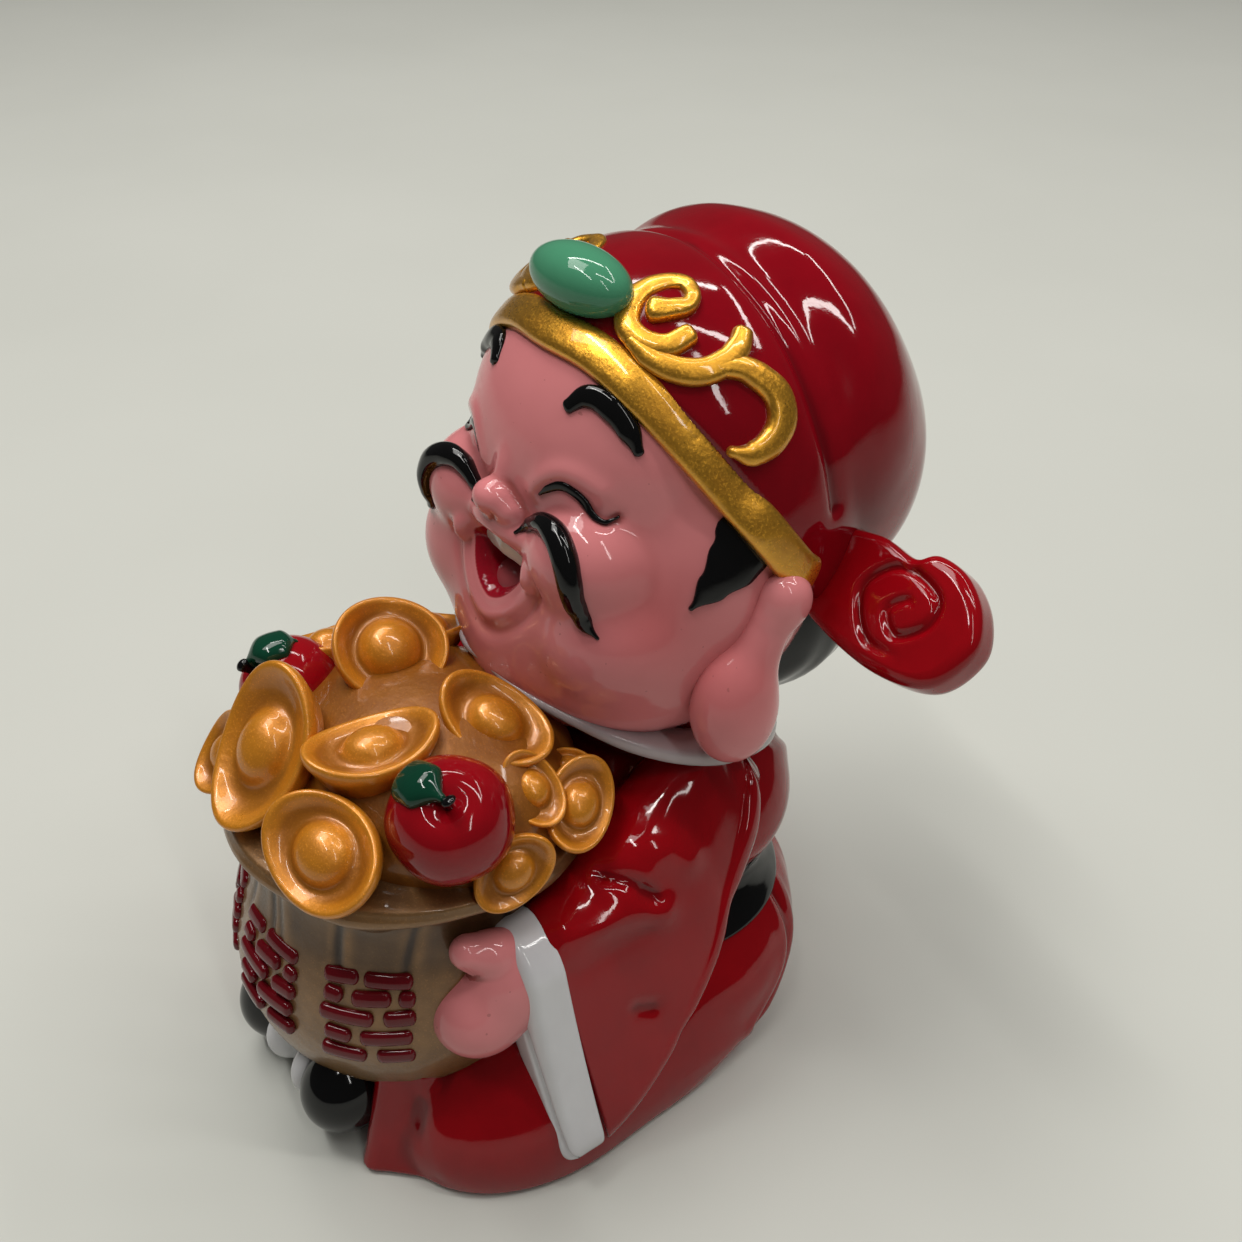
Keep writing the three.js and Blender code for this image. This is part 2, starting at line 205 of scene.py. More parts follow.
def both(field):
    """A form of the +X side, on both sides."""
    return lambda p: field(folded(p))


def cut(field, at, way, soft):
    """What of a form lies beyond a plane through at, on the side of way, its edge rounded over soft."""
    return lambda p: -blend(-field(p), (p - at) @ way, soft)


# Surfaces from rays

def fan(columns, rows, start, end=None, low=0.25, high=0.25, crowd=0.0, axes=np.eye(3)):
    """Starts and ways of rays all round an axis. Rows swing up from the axis below start, run along it to end
    and swing in above it: low and high are the shares of the rows that swing. With no end they swing from
    pole to pole about start. Columns turn about the axis from its front, where crowd draws them together."""
    start = np.array(start, float)
    v = np.linspace(0, 1, rows)
    if end is None:
        end, tilt, along = start, np.pi * (v - 0.5), 0 * v
    else:
        below, above = np.clip(1 - v / max(low, 1e-6), 0, 1), np.clip((v - 1 + high) / max(high, 1e-6), 0, 1)
        tilt = (np.pi / 2) * (above - below)
        along = np.clip((v - low) / max(1 - low - high, 1e-6), 0, 1)
    turn = np.linspace(0, 2 * np.pi, columns, endpoint=False)
    turn = turn - crowd * np.sin(turn)
    flat = np.stack([np.sin(turn), -np.cos(turn), 0 * turn], -1)
    ways = flat * np.cos(tilt)[:, None, None] + np.array([0, 0, 1]) * np.sin(tilt)[:, None, None]
    starts = start + (np.array(end, float) - start) * along[:, None, None] + 0 * ways
    return starts, ways @ axes


def blown(field, starts, ways, reach=75.0, steps=56):
    """Where each ray leaves the field for good: even steps in from reach find it, then halving closes in."""
    outer = np.full(ways.shape[:-1], float(reach))
    found = np.zeros(ways.shape[:-1], bool)
    inner = outer.copy()
    for t in np.linspace(reach, 0, steps)[1:]:
        hit = ~found
        inside = field(starts[hit] + ways[hit] * t) < 0
        where = np.flatnonzero(hit)[inside]
        found.flat[where] = True
        inner.flat[where] = t
        outer.flat[np.flatnonzero(~found)] = t
        if found.all():
            break
    inner = np.where(found, inner, 0)
    outer = np.where(found, outer, 0)
    for _ in range(14):
        middle = (inner + outer) / 2
        inside = field(starts + ways * middle[..., None]) < 0
        inner, outer = np.where(inside, middle, inner), np.where(inside, outer, middle)
    return starts + ways * inner[..., None]


def whole_egg(columns, rows, at, half, reach=16.0):
    """An upright ellipsoid by itself, from rays about its middle."""
    return blown(egg(at, half), *fan(columns, rows, at), reach)


def grid_normals(p):
    """Outward normals of a grid closed round its columns, from its differences."""
    across = np.roll(p, -1, 1) - np.roll(p, 1, 1)
    n = unit(np.cross(across, np.gradient(p, axis=0)))
    middle = p.reshape(-1, 3).mean(0)
    return n if ((p - middle) * n).sum() > 0 else -n


def risen(grid, rise):
    """A grid moved out along its normals."""
    return grid + grid_normals(grid) * rise[..., None]


def ridges(points, lines):
    """How far each point rises by lines laid over it. A line is a path, the height of its crest, which is
    less than 0 for a groove, and the width over which it falls away."""
    rise = np.zeros(points.shape[:-1])
    for path, tall, wide in lines:
        far, _ = near(points, path)
        rise += tall * hump(far, 0, wide)
    return rise


def hollow(p, reach=1.6):
    """How far each point lies below the middle of its neighbours a few rows and columns away, in mm."""
    wide = np.median(np.linalg.norm(np.roll(p, 1, 1) - p, axis=-1)) + 1e-6
    tall = np.median(np.linalg.norm(np.diff(p, axis=0), axis=-1)) + 1e-6
    i, j = max(1, int(round(reach / tall))), max(1, int(round(reach / wide)))
    rows = np.arange(len(p))
    up, down = np.clip(rows - i, 0, len(p) - 1), np.clip(rows + i, 0, len(p) - 1)
    middle = (p[up] + p[down] + np.roll(p, j, 1) + np.roll(p, -j, 1)) / 4
    return np.clip(((middle - p) * grid_normals(p)).sum(-1), -2, 2)


# Relief on a surface

class Form:
    """A distance field with a point inside it, on which relief is laid."""

    def __init__(self, field, core):
        self.field, self.core = field, np.array(core, float)

    def land(self, points):
        """Points brought on to the form, each along its own ray from the core."""
        flat = points.reshape(-1, 3)
        starts = np.broadcast_to(self.core, flat.shape)
        return blown(self.field, starts, unit(flat - self.core)).reshape(points.shape)

    def out(self, points, reach=0.25):
        """Outward normals, from the differences of the field on either side."""
        parts = [self.field(points + d) - self.field(points - d) for d in np.eye(3) * reach]
        return unit(np.stack(parts, -1))


class Air:
    """Stands in for a form where a section is carried freely. Outwards is away from the core, tilted up by
    rise, and of the height above the core only the share upward counts."""

    def __init__(self, core, rise=0.0, upward=0.0):
        self.core, self.rise, self.upward = np.array(core, float), rise, upward

    def land(self, points):
        return points

    def out(self, points):
        return unit((points - self.core) * [1, 1, self.upward] + [0, 0, self.rise])


def relief(form, path, width, height, sink=1.0, power=0.8, sides=20, count=64, closed=False):
    """Section carried along a path on a form. At each step the section is an oval: width across, height out
    of the form and sink into it; a lower power makes it fuller. Widths and heights may run along the path."""
    way = form.land(smooth(path, count, closed))
    tangent = np.roll(way, -1, 0) - np.roll(way, 1, 0) if closed else np.gradient(way, axis=0)
    out = form.out(way)
    side = unit(np.cross(out, tangent))
    a = np.linspace(0, 2 * np.pi, sides, endpoint=False)
    c, s = np.cos(a), np.sin(a)
    across = shares(width, count)[:, None] * (np.sign(c) * np.abs(c) ** power * 0.5)
    rise = np.sign(s) * np.abs(s) ** power
    ground = form.land(way[:, None] + side[:, None] * across[..., None])
    normal = unit(form.out(ground) + out[:, None])
    amount = np.where(rise > 0, rise * shares(height, count)[:, None], rise * sink)
    grid = ground + normal * amount[..., None]
    return np.swapaxes(grid, 0, 1) if closed else rounded(grid)


def rounded(grid, bulge=0.7):
    """A carried section with rounded ends: rows that draw in to the middle as they go out along the way."""
    turns = np.array([0, 0.25, 0.5, 0.75])[:, None, None] * np.pi / 2
    ends = []
    for edge, before in ((grid[0], grid[1]), (grid[-1], grid[-2])):
        middle = edge.mean(0)
        out = unit(middle - before.mean(0)) * bulge * np.linalg.norm(edge - middle, axis=-1).mean()
        ends.append(middle + (edge - middle) * np.sin(turns) + out * np.cos(turns))
    return np.concatenate([ends[0], grid, ends[1][::-1]])


# Finishes

class Value:
    """A number in a material's sums: each sum, difference or product adds one Math node."""

    def __init__(self, finish, socket):
        self.finish, self.socket = finish, socket

    def _math(self, operation, a, b, clamp=False):
        return self.finish.add("Math", {"operation": operation, "use_clamp": clamp}, {0: a, 1: b})

    def __add__(self, other):
        return self._math("ADD", self, other)

    def __mul__(self, other):
        return self._math("MULTIPLY", self, other)

    def __sub__(self, other):
        return self._math("SUBTRACT", self, other)

    def __rsub__(self, other):
        return self._math("SUBTRACT", other, self)

    __radd__, __rmul__ = __add__, __mul__

    def held(self):
        """The value kept between 0 and 1."""
        return self._math("ADD", self, 0.0, True)


class Finish:
    """The node tree of one material, round a single Principled shader."""

    def __init__(self, name, **settings):
        self.material = bpy.data.materials.new(name)
        self.material.use_nodes = True
        self.tree = self.material.node_tree
        self.shader = self.tree.nodes["Principled BSDF"]
        for key, value in settings.items():
            self.shader.inputs[key.replace("_", " ")].default_value = value
        self.place = self.add("TexCoord", out="Object")

    def add(self, kind, settings=None, inputs=None, out=0):
        """Any node: its settings come first, then the values or links of its sockets."""
        node = self.tree.nodes.new("ShaderNode" + kind)
        for key, value in (settings or {}).items():
            setattr(node, key, value)
        for key, value in (inputs or {}).items():
            if isinstance(value, Value):
                self.tree.links.new(value.socket, node.inputs[key])
            else:
                node.inputs[key].default_value = value
        return Value(self, node.outputs[out])

    def noise(self, scale, detail=2.0, rough=0.5, place=None):
        """Cloudy values about 0.5, scale to the metre."""
        inputs = {"Vector": place or self.place, "Scale": scale, "Detail": detail, "Roughness": rough}
        return self.add("TexNoise", None, inputs, "Fac")

    def stretched(self, x, y, z):
        """The place with each axis scaled, for a pattern that runs longer one way."""
        return self.add("Mapping", None, {"Vector": self.place, "Scale": (x, y, z)})

    def mark(self, name):
        """A number written on the mesh's points."""
        return self.add("Attribute", {"attribute_name": name}, None, "Fac")

    def eased(self, value, low, high):
        """0 below low to 1 above high."""
        inputs = {"Value": value, "From Min": low, "From Max": high}
        return self.add("MapRange", {"interpolation_type": "SMOOTHSTEP"}, inputs)

    def mix(self, share, a, b):
        """Colour a turned to b by share."""
        a, b = [c if isinstance(c, Value) else (*c, 1) for c in (a, b)]
        return self.add("Mix", {"data_type": "RGBA", "clamp_factor": True}, {0: share, 6: a, 7: b}, 2)

    def feed(self, socket, value):
        """A value or colour led to one of the shader's sockets."""
        self.tree.links.new(value.socket, self.shader.inputs[socket])

    def bump(self, *layers):
        """Bumps laid one on another: each is a height and how many metres it stands."""
        normal = None
        for height, metres in layers:
            inputs = {"Height": height, "Distance": metres, "Strength": 1.0}
            if normal:
                inputs["Normal"] = normal
            normal = self.add("Bump", None, inputs)
        self.feed("Normal", normal)


def lacquer(name, base, deep, wave=0.0004, rough=0.045, pool_and_shade=0.8):
    """Brushed gloss paint: darker in the hollows, where paint pools and shade is painted in; it mottles a
    little, and its skin waves.
    """
    f = Finish(name, Roughness=rough, IOR=1.42)
    mottle = f.eased(f.noise(55, 4), 0.35, 0.7)
    streak = f.noise(1, 3, 0.6, f.stretched(420, 420, 90))
    # Darker in the hollows: pooled paint, and painted shade.
    pooled_and_shaded = f.eased(f.mark("hollow"), 0.02, 0.5) * pool_and_shade
    colour = f.mix((mottle * 0.28 + streak * 0.2).held(), base, deep)
    f.feed("Base Color", f.mix(pooled_and_shaded, colour, deep))
    f.feed("Roughness", f.eased(f.noise(130, 3), 0.3, 0.75) * 0.045 + rough)
    f.bump((f.noise(62, 2), wave), (f.noise(330, 2), wave * 0.05), (f.noise(1500, 1), 0.000004))
    return f


def metal_paint(name, bright, deep, dark, metal=0.85, rough=0.24, grain=2600, coat=0.6, wash_and_shade=0.85):
    """Metallic paint: fine flakes glint, raised edges are lightened as a painted highlight, and the hollows
    are darkened by a dark wash with painted shade.
    """
    f = Finish(name, Coat_Weight=coat, Coat_Roughness=0.06, Metallic=metal)
    flakes = f.noise(grain, 2, 0.7)
    patch = f.noise(150, 4, 0.6)
    raised = f.eased(0.0 - f.mark("hollow"), 0.0, 0.35)
    sunk = f.eased(f.mark("hollow"), 0.03, 0.45)
    body = f.mix(f.eased(patch, 0.3, 0.7) * 0.6, bright, deep)
    # Raised edges lightened: a painted highlight.
    body = f.mix(raised * 0.5, body, bright)
    body = f.mix(f.eased(flakes, 0.55, 0.68) * 0.65, body, [min(1, c * 1.4) for c in bright])
    # Hollows darkened: a dark wash, and painted shade.
    f.feed("Base Color", f.mix(sunk * wash_and_shade, body, dark))
    f.feed("Roughness", f.eased(flakes, 0.3, 0.7) * 0.16 + f.eased(patch, 0.3, 0.7) * 0.1 + rough)
    f.bump((f.noise(90, 2), 0.0002), (flakes, 0.00002), (f.noise(500, 3), 0.00012))
    return f


def flesh_paint():
    """Pink gloss flesh, rosier where the cheeks and lobes are blushed, and crimson inside the mouth."""
    f = Finish("flesh paint", IOR=1.42)
    mottle = f.eased(f.noise(48, 3), 0.3, 0.75)
    skin = f.mix(mottle * 0.35, (0.74, 0.25, 0.26), (0.62, 0.18, 0.19))
    skin = f.mix(f.mark("blush"), skin, (0.46, 0.085, 0.085))
    # Darker in the hollows: painted shade, and pooled paint.
    skin = f.mix(f.eased(f.mark("hollow"), 0.03, 0.5) * 0.75, skin, (0.36, 0.07, 0.06))
    skin = f.mix(f.eased(f.noise(700, 1), 0.765, 0.78) * 0.4, skin, (0.3, 0.09, 0.08))
    f.feed("Base Color", f.mix(f.eased(f.mark("mouth"), 0.45, 0.75), skin, (0.33, 0.006, 0.018)))
    f.feed("Roughness", f.eased(f.noise(120, 3), 0.3, 0.75) * 0.05 + 0.06)
    f.bump((f.noise(58, 2), 0.0003), (f.noise(300, 2), 0.000015), (f.noise(1500, 1), 0.000004))
    return f


RED = lacquer("robe red lacquer", (0.32, 0.002, 0.006), (0.14, 0.001, 0.003))
CRIMSON = lacquer("hat crimson lacquer", (0.26, 0.002, 0.008), (0.11, 0.001, 0.004), 0.00045)
APPLE_RED = lacquer("apple red lacquer", (0.3, 0.003, 0.008), (0.12, 0.001, 0.004), 0.00025)
STROKE_RED = lacquer("stroke red lacquer", (0.15, 0.004, 0.009), (0.06, 0.001, 0.003), 0.0003, 0.08)
BLACK = lacquer("black lacquer", (0.004, 0.004, 0.0045), (0.002, 0.002, 0.002), 0.00025, 0.06)
HAIR_BLACK = lacquer("hair black lacquer", (0.008, 0.009, 0.010), (0.002, 0.002, 0.002), 0.0003, 0.1)
# Collar white greyed and tinted pink: painted shade under the chin and a painted reflection of the flesh.
COLLAR_WHITE_SHADED = lacquer("collar white in painted shade", (0.5, 0.45, 0.46), (0.34, 0.28, 0.29), 0.0003, 0.07, 0.7)
WHITE = lacquer("white paint", (0.74, 0.74, 0.76), (0.52, 0.5, 0.52), 0.0003, 0.09, 0.7)
JADE = lacquer("jewel green", (0.07, 0.28, 0.155), (0.045, 0.2, 0.11), 0.00012, 0.03)
LEAF = lacquer("leaf green", (0.004, 0.05, 0.026), (0.002, 0.022, 0.012), 0.0003, 0.05)
TOOTH = lacquer("tooth white", (0.75, 0.72, 0.68), (0.55, 0.45, 0.42), 0.0001, 0.12)
TONGUE = lacquer("tongue rose", (0.42, 0.09, 0.1), (0.26, 0.02, 0.03), 0.0002, 0.12)
FLESH = flesh_paint()
GOLD = metal_paint("gold trim paint", (0.74, 0.37, 0.035), (0.4, 0.155, 0.012), (0.12, 0.04, 0.005))
INGOT = metal_paint("ingot pearl gold", (0.64, 0.24, 0.014), (0.46, 0.155, 0.008), (0.2, 0.055, 0.003),
                    metal=0.3, rough=0.26, grain=3200, coat=0.5, wash_and_shade=0.6)
# The heap's gold is a darker copy of the ingots' gold: painted shade between the ingots.
HEAP_GOLD_SHADED = metal_paint("heap gold in painted shade", (0.29, 0.1, 0.006), (0.19, 0.055, 0.004), (0.07, 0.02, 0.002),
                        metal=0.3, rough=0.3, grain=3200, coat=0.5)
BRONZE = metal_paint("sack bronze paint", (0.25, 0.128, 0.044), (0.14, 0.07, 0.024), (0.035, 0.014, 0.005),
                     metal=0.4, rough=0.32, grain=2400, coat=0.5, wash_and_shade=1.0)


# Pieces

def in_order(grid, hoop):
    """A grid's points or numbers in the mesh's order: where it isn't a hoop, each end row becomes one."""
    inner = grid if hoop else grid[1:-1]
    inner = inner.reshape(-1, *grid.shape[2:])
    return inner if hoop else np.concatenate([grid[:1].mean(1), inner, grid[-1:].mean(1)])


def outward_faces(points, rows, columns, hoop):
    """Quads between the rows, and fans of triangles at the two ends, turned to face outwards."""
    if hoop:
        body = np.arange(rows * columns).reshape(rows, columns)
        body = np.vstack([body, body[:1]])
    else:
        body = 1 + np.arange((rows - 2) * columns).reshape(rows - 2, columns)
    right = np.roll(body, -1, axis=1)
    quads = np.stack([body[:-1], right[:-1], right[1:], body[1:]], -1).reshape(-1, 4)
    caps = np.zeros((0, 3), int)
    if not hoop:
        first = 0 * right[0]
        last = first + len(points) - 1
        ends = ((first, right[0], body[0]), (last, body[-1], right[-1]))
        caps = np.vstack([np.stack(corners, -1) for corners in ends])
    a, b, c = np.swapaxes(points[np.vstack([quads[:, :3], quads[:, [0, 2, 3]], caps])], 0, 1)
    inside_out = (a * np.cross(b, c)).sum() < 0
    return (quads[:, ::-1], caps[:, ::-1]) if inside_out else (quads, caps)


def piece(name, grids, finish, marks=None, hoop=False, wash_and_shade=0.0):
    """One object of one or more grids, with its hollows marked and deepened by a given amount, which darkens
    them as painted shade. A grid is rows by columns: its columns close on themselves, and its first and last
    rows draw together to a point, or meet each other in a hoop. marks are numbers for each grid point, by
    name."""
    marks = {**(marks or {}), "hollow": [hollow(grid) + wash_and_shade for grid in grids]}
    points, quads, caps, base = [], [], [], 0
    for grid in grids:
        own = in_order(grid, hoop)
        own_quads, own_caps = outward_faces(own, *grid.shape[:2], hoop)
        points.append(own)
        quads.append(base + own_quads)
        caps.append(base + own_caps)
        base += len(own)
    points, quads, caps = np.vstack(points), np.vstack(quads), np.vstack(caps)
    corners = np.concatenate([quads.ravel(), caps.ravel()])
    counts = np.concatenate([np.full(len(quads), 4), np.full(len(caps), 3)])
    mesh = bpy.data.meshes.new(name)
    mesh.vertices.add(len(points))
    mesh.vertices.foreach_set("co", (points * MM).astype(np.float32).ravel())
    mesh.loops.add(len(corners))
    mesh.loops.foreach_set("vertex_index", corners.astype(np.int32))
    mesh.polygons.add(len(counts))
    mesh.polygons.foreach_set("loop_start", (np.cumsum(counts) - counts).astype(np.int32))
    mesh.polygons.foreach_set("use_smooth", np.ones(len(counts), bool))
    mesh.update(calc_edges=True)
    mesh.validate()
    for key, values in marks.items():
        layer = mesh.attributes.new(key, "FLOAT", "POINT")
        numbers = np.concatenate([in_order(value, hoop) for value in values])
        layer.data.foreach_set("value", numbers.astype(np.float32))
    mesh.materials.append(finish.material)
    thing = bpy.data.objects.new(name, mesh)
    bpy.context.scene.collection.objects.link(thing)
    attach(thing, "root")
    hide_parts(NODE)


NOT_MOUTH = -2.0


def flesh_marks(blush):
    """Marks of flesh that has no mouth in it: how rosy each grid is."""
    return {"blush": blush, "mouth": [0 * share + NOT_MOUTH for share in blush]}


# Face

FACE_CORE = from_head([0, 8, -2])
SKULL = melt([head_egg(0, 2, 0, 38, 29, 40), head_egg(0, -11.5, 17.5, 27, 21, 25.5),
              head_egg(0, -6, -12, 34, 22, 27), head_egg(0, -14, -24, 14, 11, 12)], 5)
CHEEKS = both(melt([head_egg(15, -19, 0, 12, 13, 11), head_egg(17, -14, -12, 15, 13.5, 14)], 5))
NOSE = melt([head_egg(0, -31.2, 4.2, 4.0, 4.3, 3.3), both(head_egg(3.3, -30.4, 3.0, 2.3, 2.6, 2.1)),
             head_egg(0, -29, 9, 2.6, 3.5, 6)], 2.0)
NOSTRILS = both(head_egg(2.1, -33.8, 1.6, 1.0, 1.3, 0.8))
UPPER_LIP = head_egg(0, -27.5, -0.4, 9, 4.6, 3.6)
LIP_ENDS = both(head_egg(10.2, -27.4, -4.8, 2.8, 2.8, 3.3))
CHIN = head_egg(0, -19, -21.5, 8.5, 6.5, 5.5)
ROSY_SPOT = np.array([27, -16, -6])
EYE_LINE = [[8.7, -30, 8.6], [10.6, -29.9, 10.5], [12.8, -29.3, 11.7], [15.6, -27.8, 11], [18, -26.4, 9.2],
            [19.8, -25.4, 8.8], [20.4, -24.4, 9.4], [20.9, -23.8, 10.1]]
LID_FOLD = [[7.3, -30.4, 8.6], [9.2, -30.6, 11.6], [12, -30.1, 13.9], [15.2, -28.7, 14.4],
            [18.3, -26.6, 13.4]]
BROW = [[10.4, -31.4, 24.8], [12.2, -30, 27.2], [14.7, -28.7, 27.6], [17.8, -27.3, 26.4],
        [20.4, -26.1, 24.3], [22.1, -25, 22]]
MOUSTACHE = [[6.7, -33.5, 0.8], [8.6, -32.7, 3], [12.5, -32.5, 5.2], [16.7, -32.7, 5], [20.1, -32.6, 2.7],
             [22, -31.9, -0.7], [22.9, -30.3, -4.5], [24.2, -28.1, -7.9], [26.6, -26.6, -9.5]]
SIDEBURN = [[34.2, -7.6, 12.6], [34.3, -8.6, 9.4], [33.8, -11, 4.6], [32.7, -13.8, -0.8]]
TEETH_ARCH = [[-8, -24.2, -5.4], [-4, -26, -4.2], [0, -26.8, -3.8], [4, -26, -4.2], [8, -24.2, -5.4]]


def mouth_outline(p):
    """Signed distance, seen from in front, to the open mouth: an oval that narrows to its chin, cut off above
    by the arched lip."""
    q = to_head(p)
    x, z = q[..., 0], q[..., 2]
    oval = (((np.abs(x) / 8.3) ** 1.7 + (np.abs(z + 5.2) / 10.1) ** 1.7) ** (1 / 1.7) - 1) * 8.3
    return -blend(-oval, -(z + 2.0 + 0.045 * x * x), 1.4)


def mouth(p):
    """The mouth as a hollow that narrows as it goes in, and its back wall."""
    y = to_head(p)[..., 1]
    return -blend(-(mouth_outline(p) + 0.45 * np.clip(y + 30, 0, 12)), -(y + 17.5), 2.0)


def bare_face(p):
    """Skull, cheeks, chin and nose, with no mouth yet."""
    return blend(blend(blend(blend(SKULL(p), CHEEKS(p), 3), CHIN(p), 3), UPPER_LIP(p), 4), NOSE(p), 2.2)


def laughing_face(p):
    """The bare face with lip ends, nostrils and the open mouth."""
    whole = -blend(-blend(bare_face(p), LIP_ENDS(p), 1.6), NOSTRILS(p), 0.8)
    return -blend(-whole, mouth(p), 1.4)


def face():
    """The face from rays that crowd to its front. Its lids stand up in folds over sunk eye lines, and its
    lower lip over a dent. Returned with how rosy its cheeks are and how deep in the mouth each point is."""
    skin = blown(laughing_face, *fan(320, 230, FACE_CORE, crowd=0.5, axes=HEAD_AXES))
    rise = ridges(skin, [(smooth(side, 30), 0.7, 1.7) for side in head_pair(LID_FOLD)]
                  + [(smooth(side, 30), -0.5, 1.1) for side in head_pair(EYE_LINE)])
    rim = mouth_outline(skin)
    below = step(-3, -8, to_head(skin)[..., 2])
    skin = risen(skin, rise + below * (0.6 * hump(rim, 2.0, 1.2) - 0.5 * hump(rim, 4.6, 1.3)))
    place = to_head(skin)
    rosy = sum(0.62 * hump(np.linalg.norm(place - spot, axis=-1), 0, 11) for spot in pair(ROSY_SPOT))
    inside = np.where(place[..., 1] < -8, np.clip(-rim, -2, 2), NOT_MOUTH)
    return skin, {"blush": [np.clip(rosy, 0, 1)], "mouth": [inside]}


def on_head(form, path, width, height, **section):
    """Relief along a path of the head's frame and along its twin."""
    return [relief(form, side, width, height, **section) for side in head_pair(path)]


skin, skin_marks = face()
piece("face", [skin], FLESH, skin_marks)

BARE_FACE = Form(bare_face, FACE_CORE)
brows = on_head(BARE_FACE, BROW, [2.4, 3.8, 4.3, 3.8, 1.8], [0.8, 1.2, 1.4, 1.3, 0.7])
piece("brows", brows, BLACK)
moustaches = on_head(BARE_FACE, MOUSTACHE, [0.6, 2.6, 3.6, 4.2, 4.3, 4.1, 3.7, 3.0, 0.6],
                     [0.5, 1.6, 2.2, 2.4, 2.4, 2.2, 1.9, 1.4, 0.4])
piece("moustaches", moustaches, BLACK)
eyes = on_head(BARE_FACE, EYE_LINE, [0.5, 1.4, 1.7, 1.4, 1.4, 1.1, 0.8, 0.4], 0.3, sink=0.8, sides=12)
piece("eye_lines", eyes, BLACK)
sideburns = on_head(BARE_FACE, SIDEBURN, [11.5, 9.5, 5.5, 0.8], 0.7, power=0.45)
piece("sideburns", sideburns, BLACK)

palate = Air(from_head([0, 0, -4]))
teeth = relief(palate, from_head(TEETH_ARCH), [3, 5.6, 6, 5.6, 3], 1.4, sink=1.2, power=0.7)
piece("teeth", [teeth], TOOTH)
tongue_rays = fan(60, 40, from_head([0, -20, -12]), axes=HEAD_AXES)
tongue = blown(head_egg(0, -20.5, -12.5, 6.2, 5, 4.6), *tongue_rays, 12)
piece("tongue", [tongue], TONGUE)

# Ears and hair

EAR = melt([egg((39.5, 31, 105), (4.2, 4.5, 5)), rod((39, 28.5, 101), (38.3, 24.5, 92), 3.4, 4.6),
            egg((38, 22.5, 85.5), (7, 8, 11))], 4)
ears = pair(blown(EAR, *fan(100, 100, (38, 22.5, 86), (39.3, 30, 104), 0.3), 20))
rosy_lobes = [0.45 * step(80, 92, ear[..., 2]) * step(104, 94, ear[..., 2]) for ear in ears]
piece("ears", ears, FLESH, flesh_marks(rosy_lobes))


def hair():
    """An egg behind the ears, combed into wavy locks low down: each is a wave round the head, whose phase
    shifts with the height and sways."""
    mass = whole_egg(150, 90, (0, 48, 87), (35, 26, 25), 75)
    turn = np.arctan2(mass[..., 0], mass[..., 1] - 30)
    locks = np.sin(turn * 34 + 1.6 * np.sin(turn * 7) + mass[..., 2] / 9) * (0.7 + 0.3 * np.sin(turn * 13))
    return risen(mass, 0.22 * locks * step(94, 86, mass[..., 2]))


piece("hair", [hair()], HAIR_BLACK)

# Hat: a front dome and a taller crown, creased where they meet and cut off at the brim

BRIM_TILT = np.radians(42)
BRIM_WAY = np.array([0, np.sin(BRIM_TILT), np.cos(BRIM_TILT)]) @ HEAD_AXES
HAT_FRONT = cut(melt([head_egg(0, 5, 8, 39.4, 32, 35), head_egg(0, 1.5, 24.5, 32.5, 31.5, 26)], 14),
                from_head([0, -22, 30.5]), BRIM_WAY, 1.5)
HAT_CROWN = cut(melt([egg((0, 53.6, 118.9), (37.6, 24.4, 32.1), 6.5),
                      egg((0, 61.6, 106.2), (34.2, 20.3, 29.8), 25.5)], 14),
                [0, 39, 103], [0, 0.25, 0.968], 1.5)
HAT = Form(melt([HAT_FRONT, HAT_CROWN], 2.5), (0, 46, 116))
RIDGE = [[0, 55, 151], [9.7, 55.7, 149.7], [20.1, 55.1, 144.8], [26.5, 54.1, 138.7], [30.8, 50.8, 130.8],
         [33.3, 45.8, 124.5]]
VALLEY = [[0, 42.6, 150.6], [2.2, 42.6, 149.8], [15.3, 41.9, 146.6], [25.2, 41.8, 140.1], [31.6, 41.9, 132.3],
          [35.4, 42.5, 124.8], [37, 43, 117]]
BAND_SIDE = [[0, -28.1, 32.7], [9.4, -26.6, 32.3], [18.1, -23.4, 29.3], [25.5, -17.3, 23.8],
             [31.3, -10.9, 18.2], [35.4, -6.9, 14.7], [38.8, 0.4, 9], [39.3, 2.6, 8.1]]
HOOK = [[12.1, -20, 40.4], [13.7, -18.4, 41.2], [14.9, -16.4, 42.5], [14, -15, 43.9], [11.5, -14.6, 45.2],
        [9.3, -16.3, 44.8], [8, -19.3, 42.7], [8.8, -21.7, 39.9], [11.1, -23, 37.1], [14.5, -22.3, 36],
        [17.3, -20.2, 36.6], [18.3, -17.6, 38.9]]
BRANCH = [[13.1, -23.2, 35.4], [17.1, -21.9, 34.3], [20.6, -19.6, 34.1], [23, -16.9, 35.1], [23.9, -14, 37.2],
          [23.5, -12, 39.4], [22.4, -10.8, 41.3]]
LOOP = [[23.2, -15.2, 35.6], [25.4, -12.6, 36.9], [27.7, -9.8, 36.3], [30.2, -7.4, 34.6], [32.3, -6.9, 31.4],
        [33.2, -8.7, 28], [32.5, -11.5, 25.7], [30.8, -14.2, 25.4]]
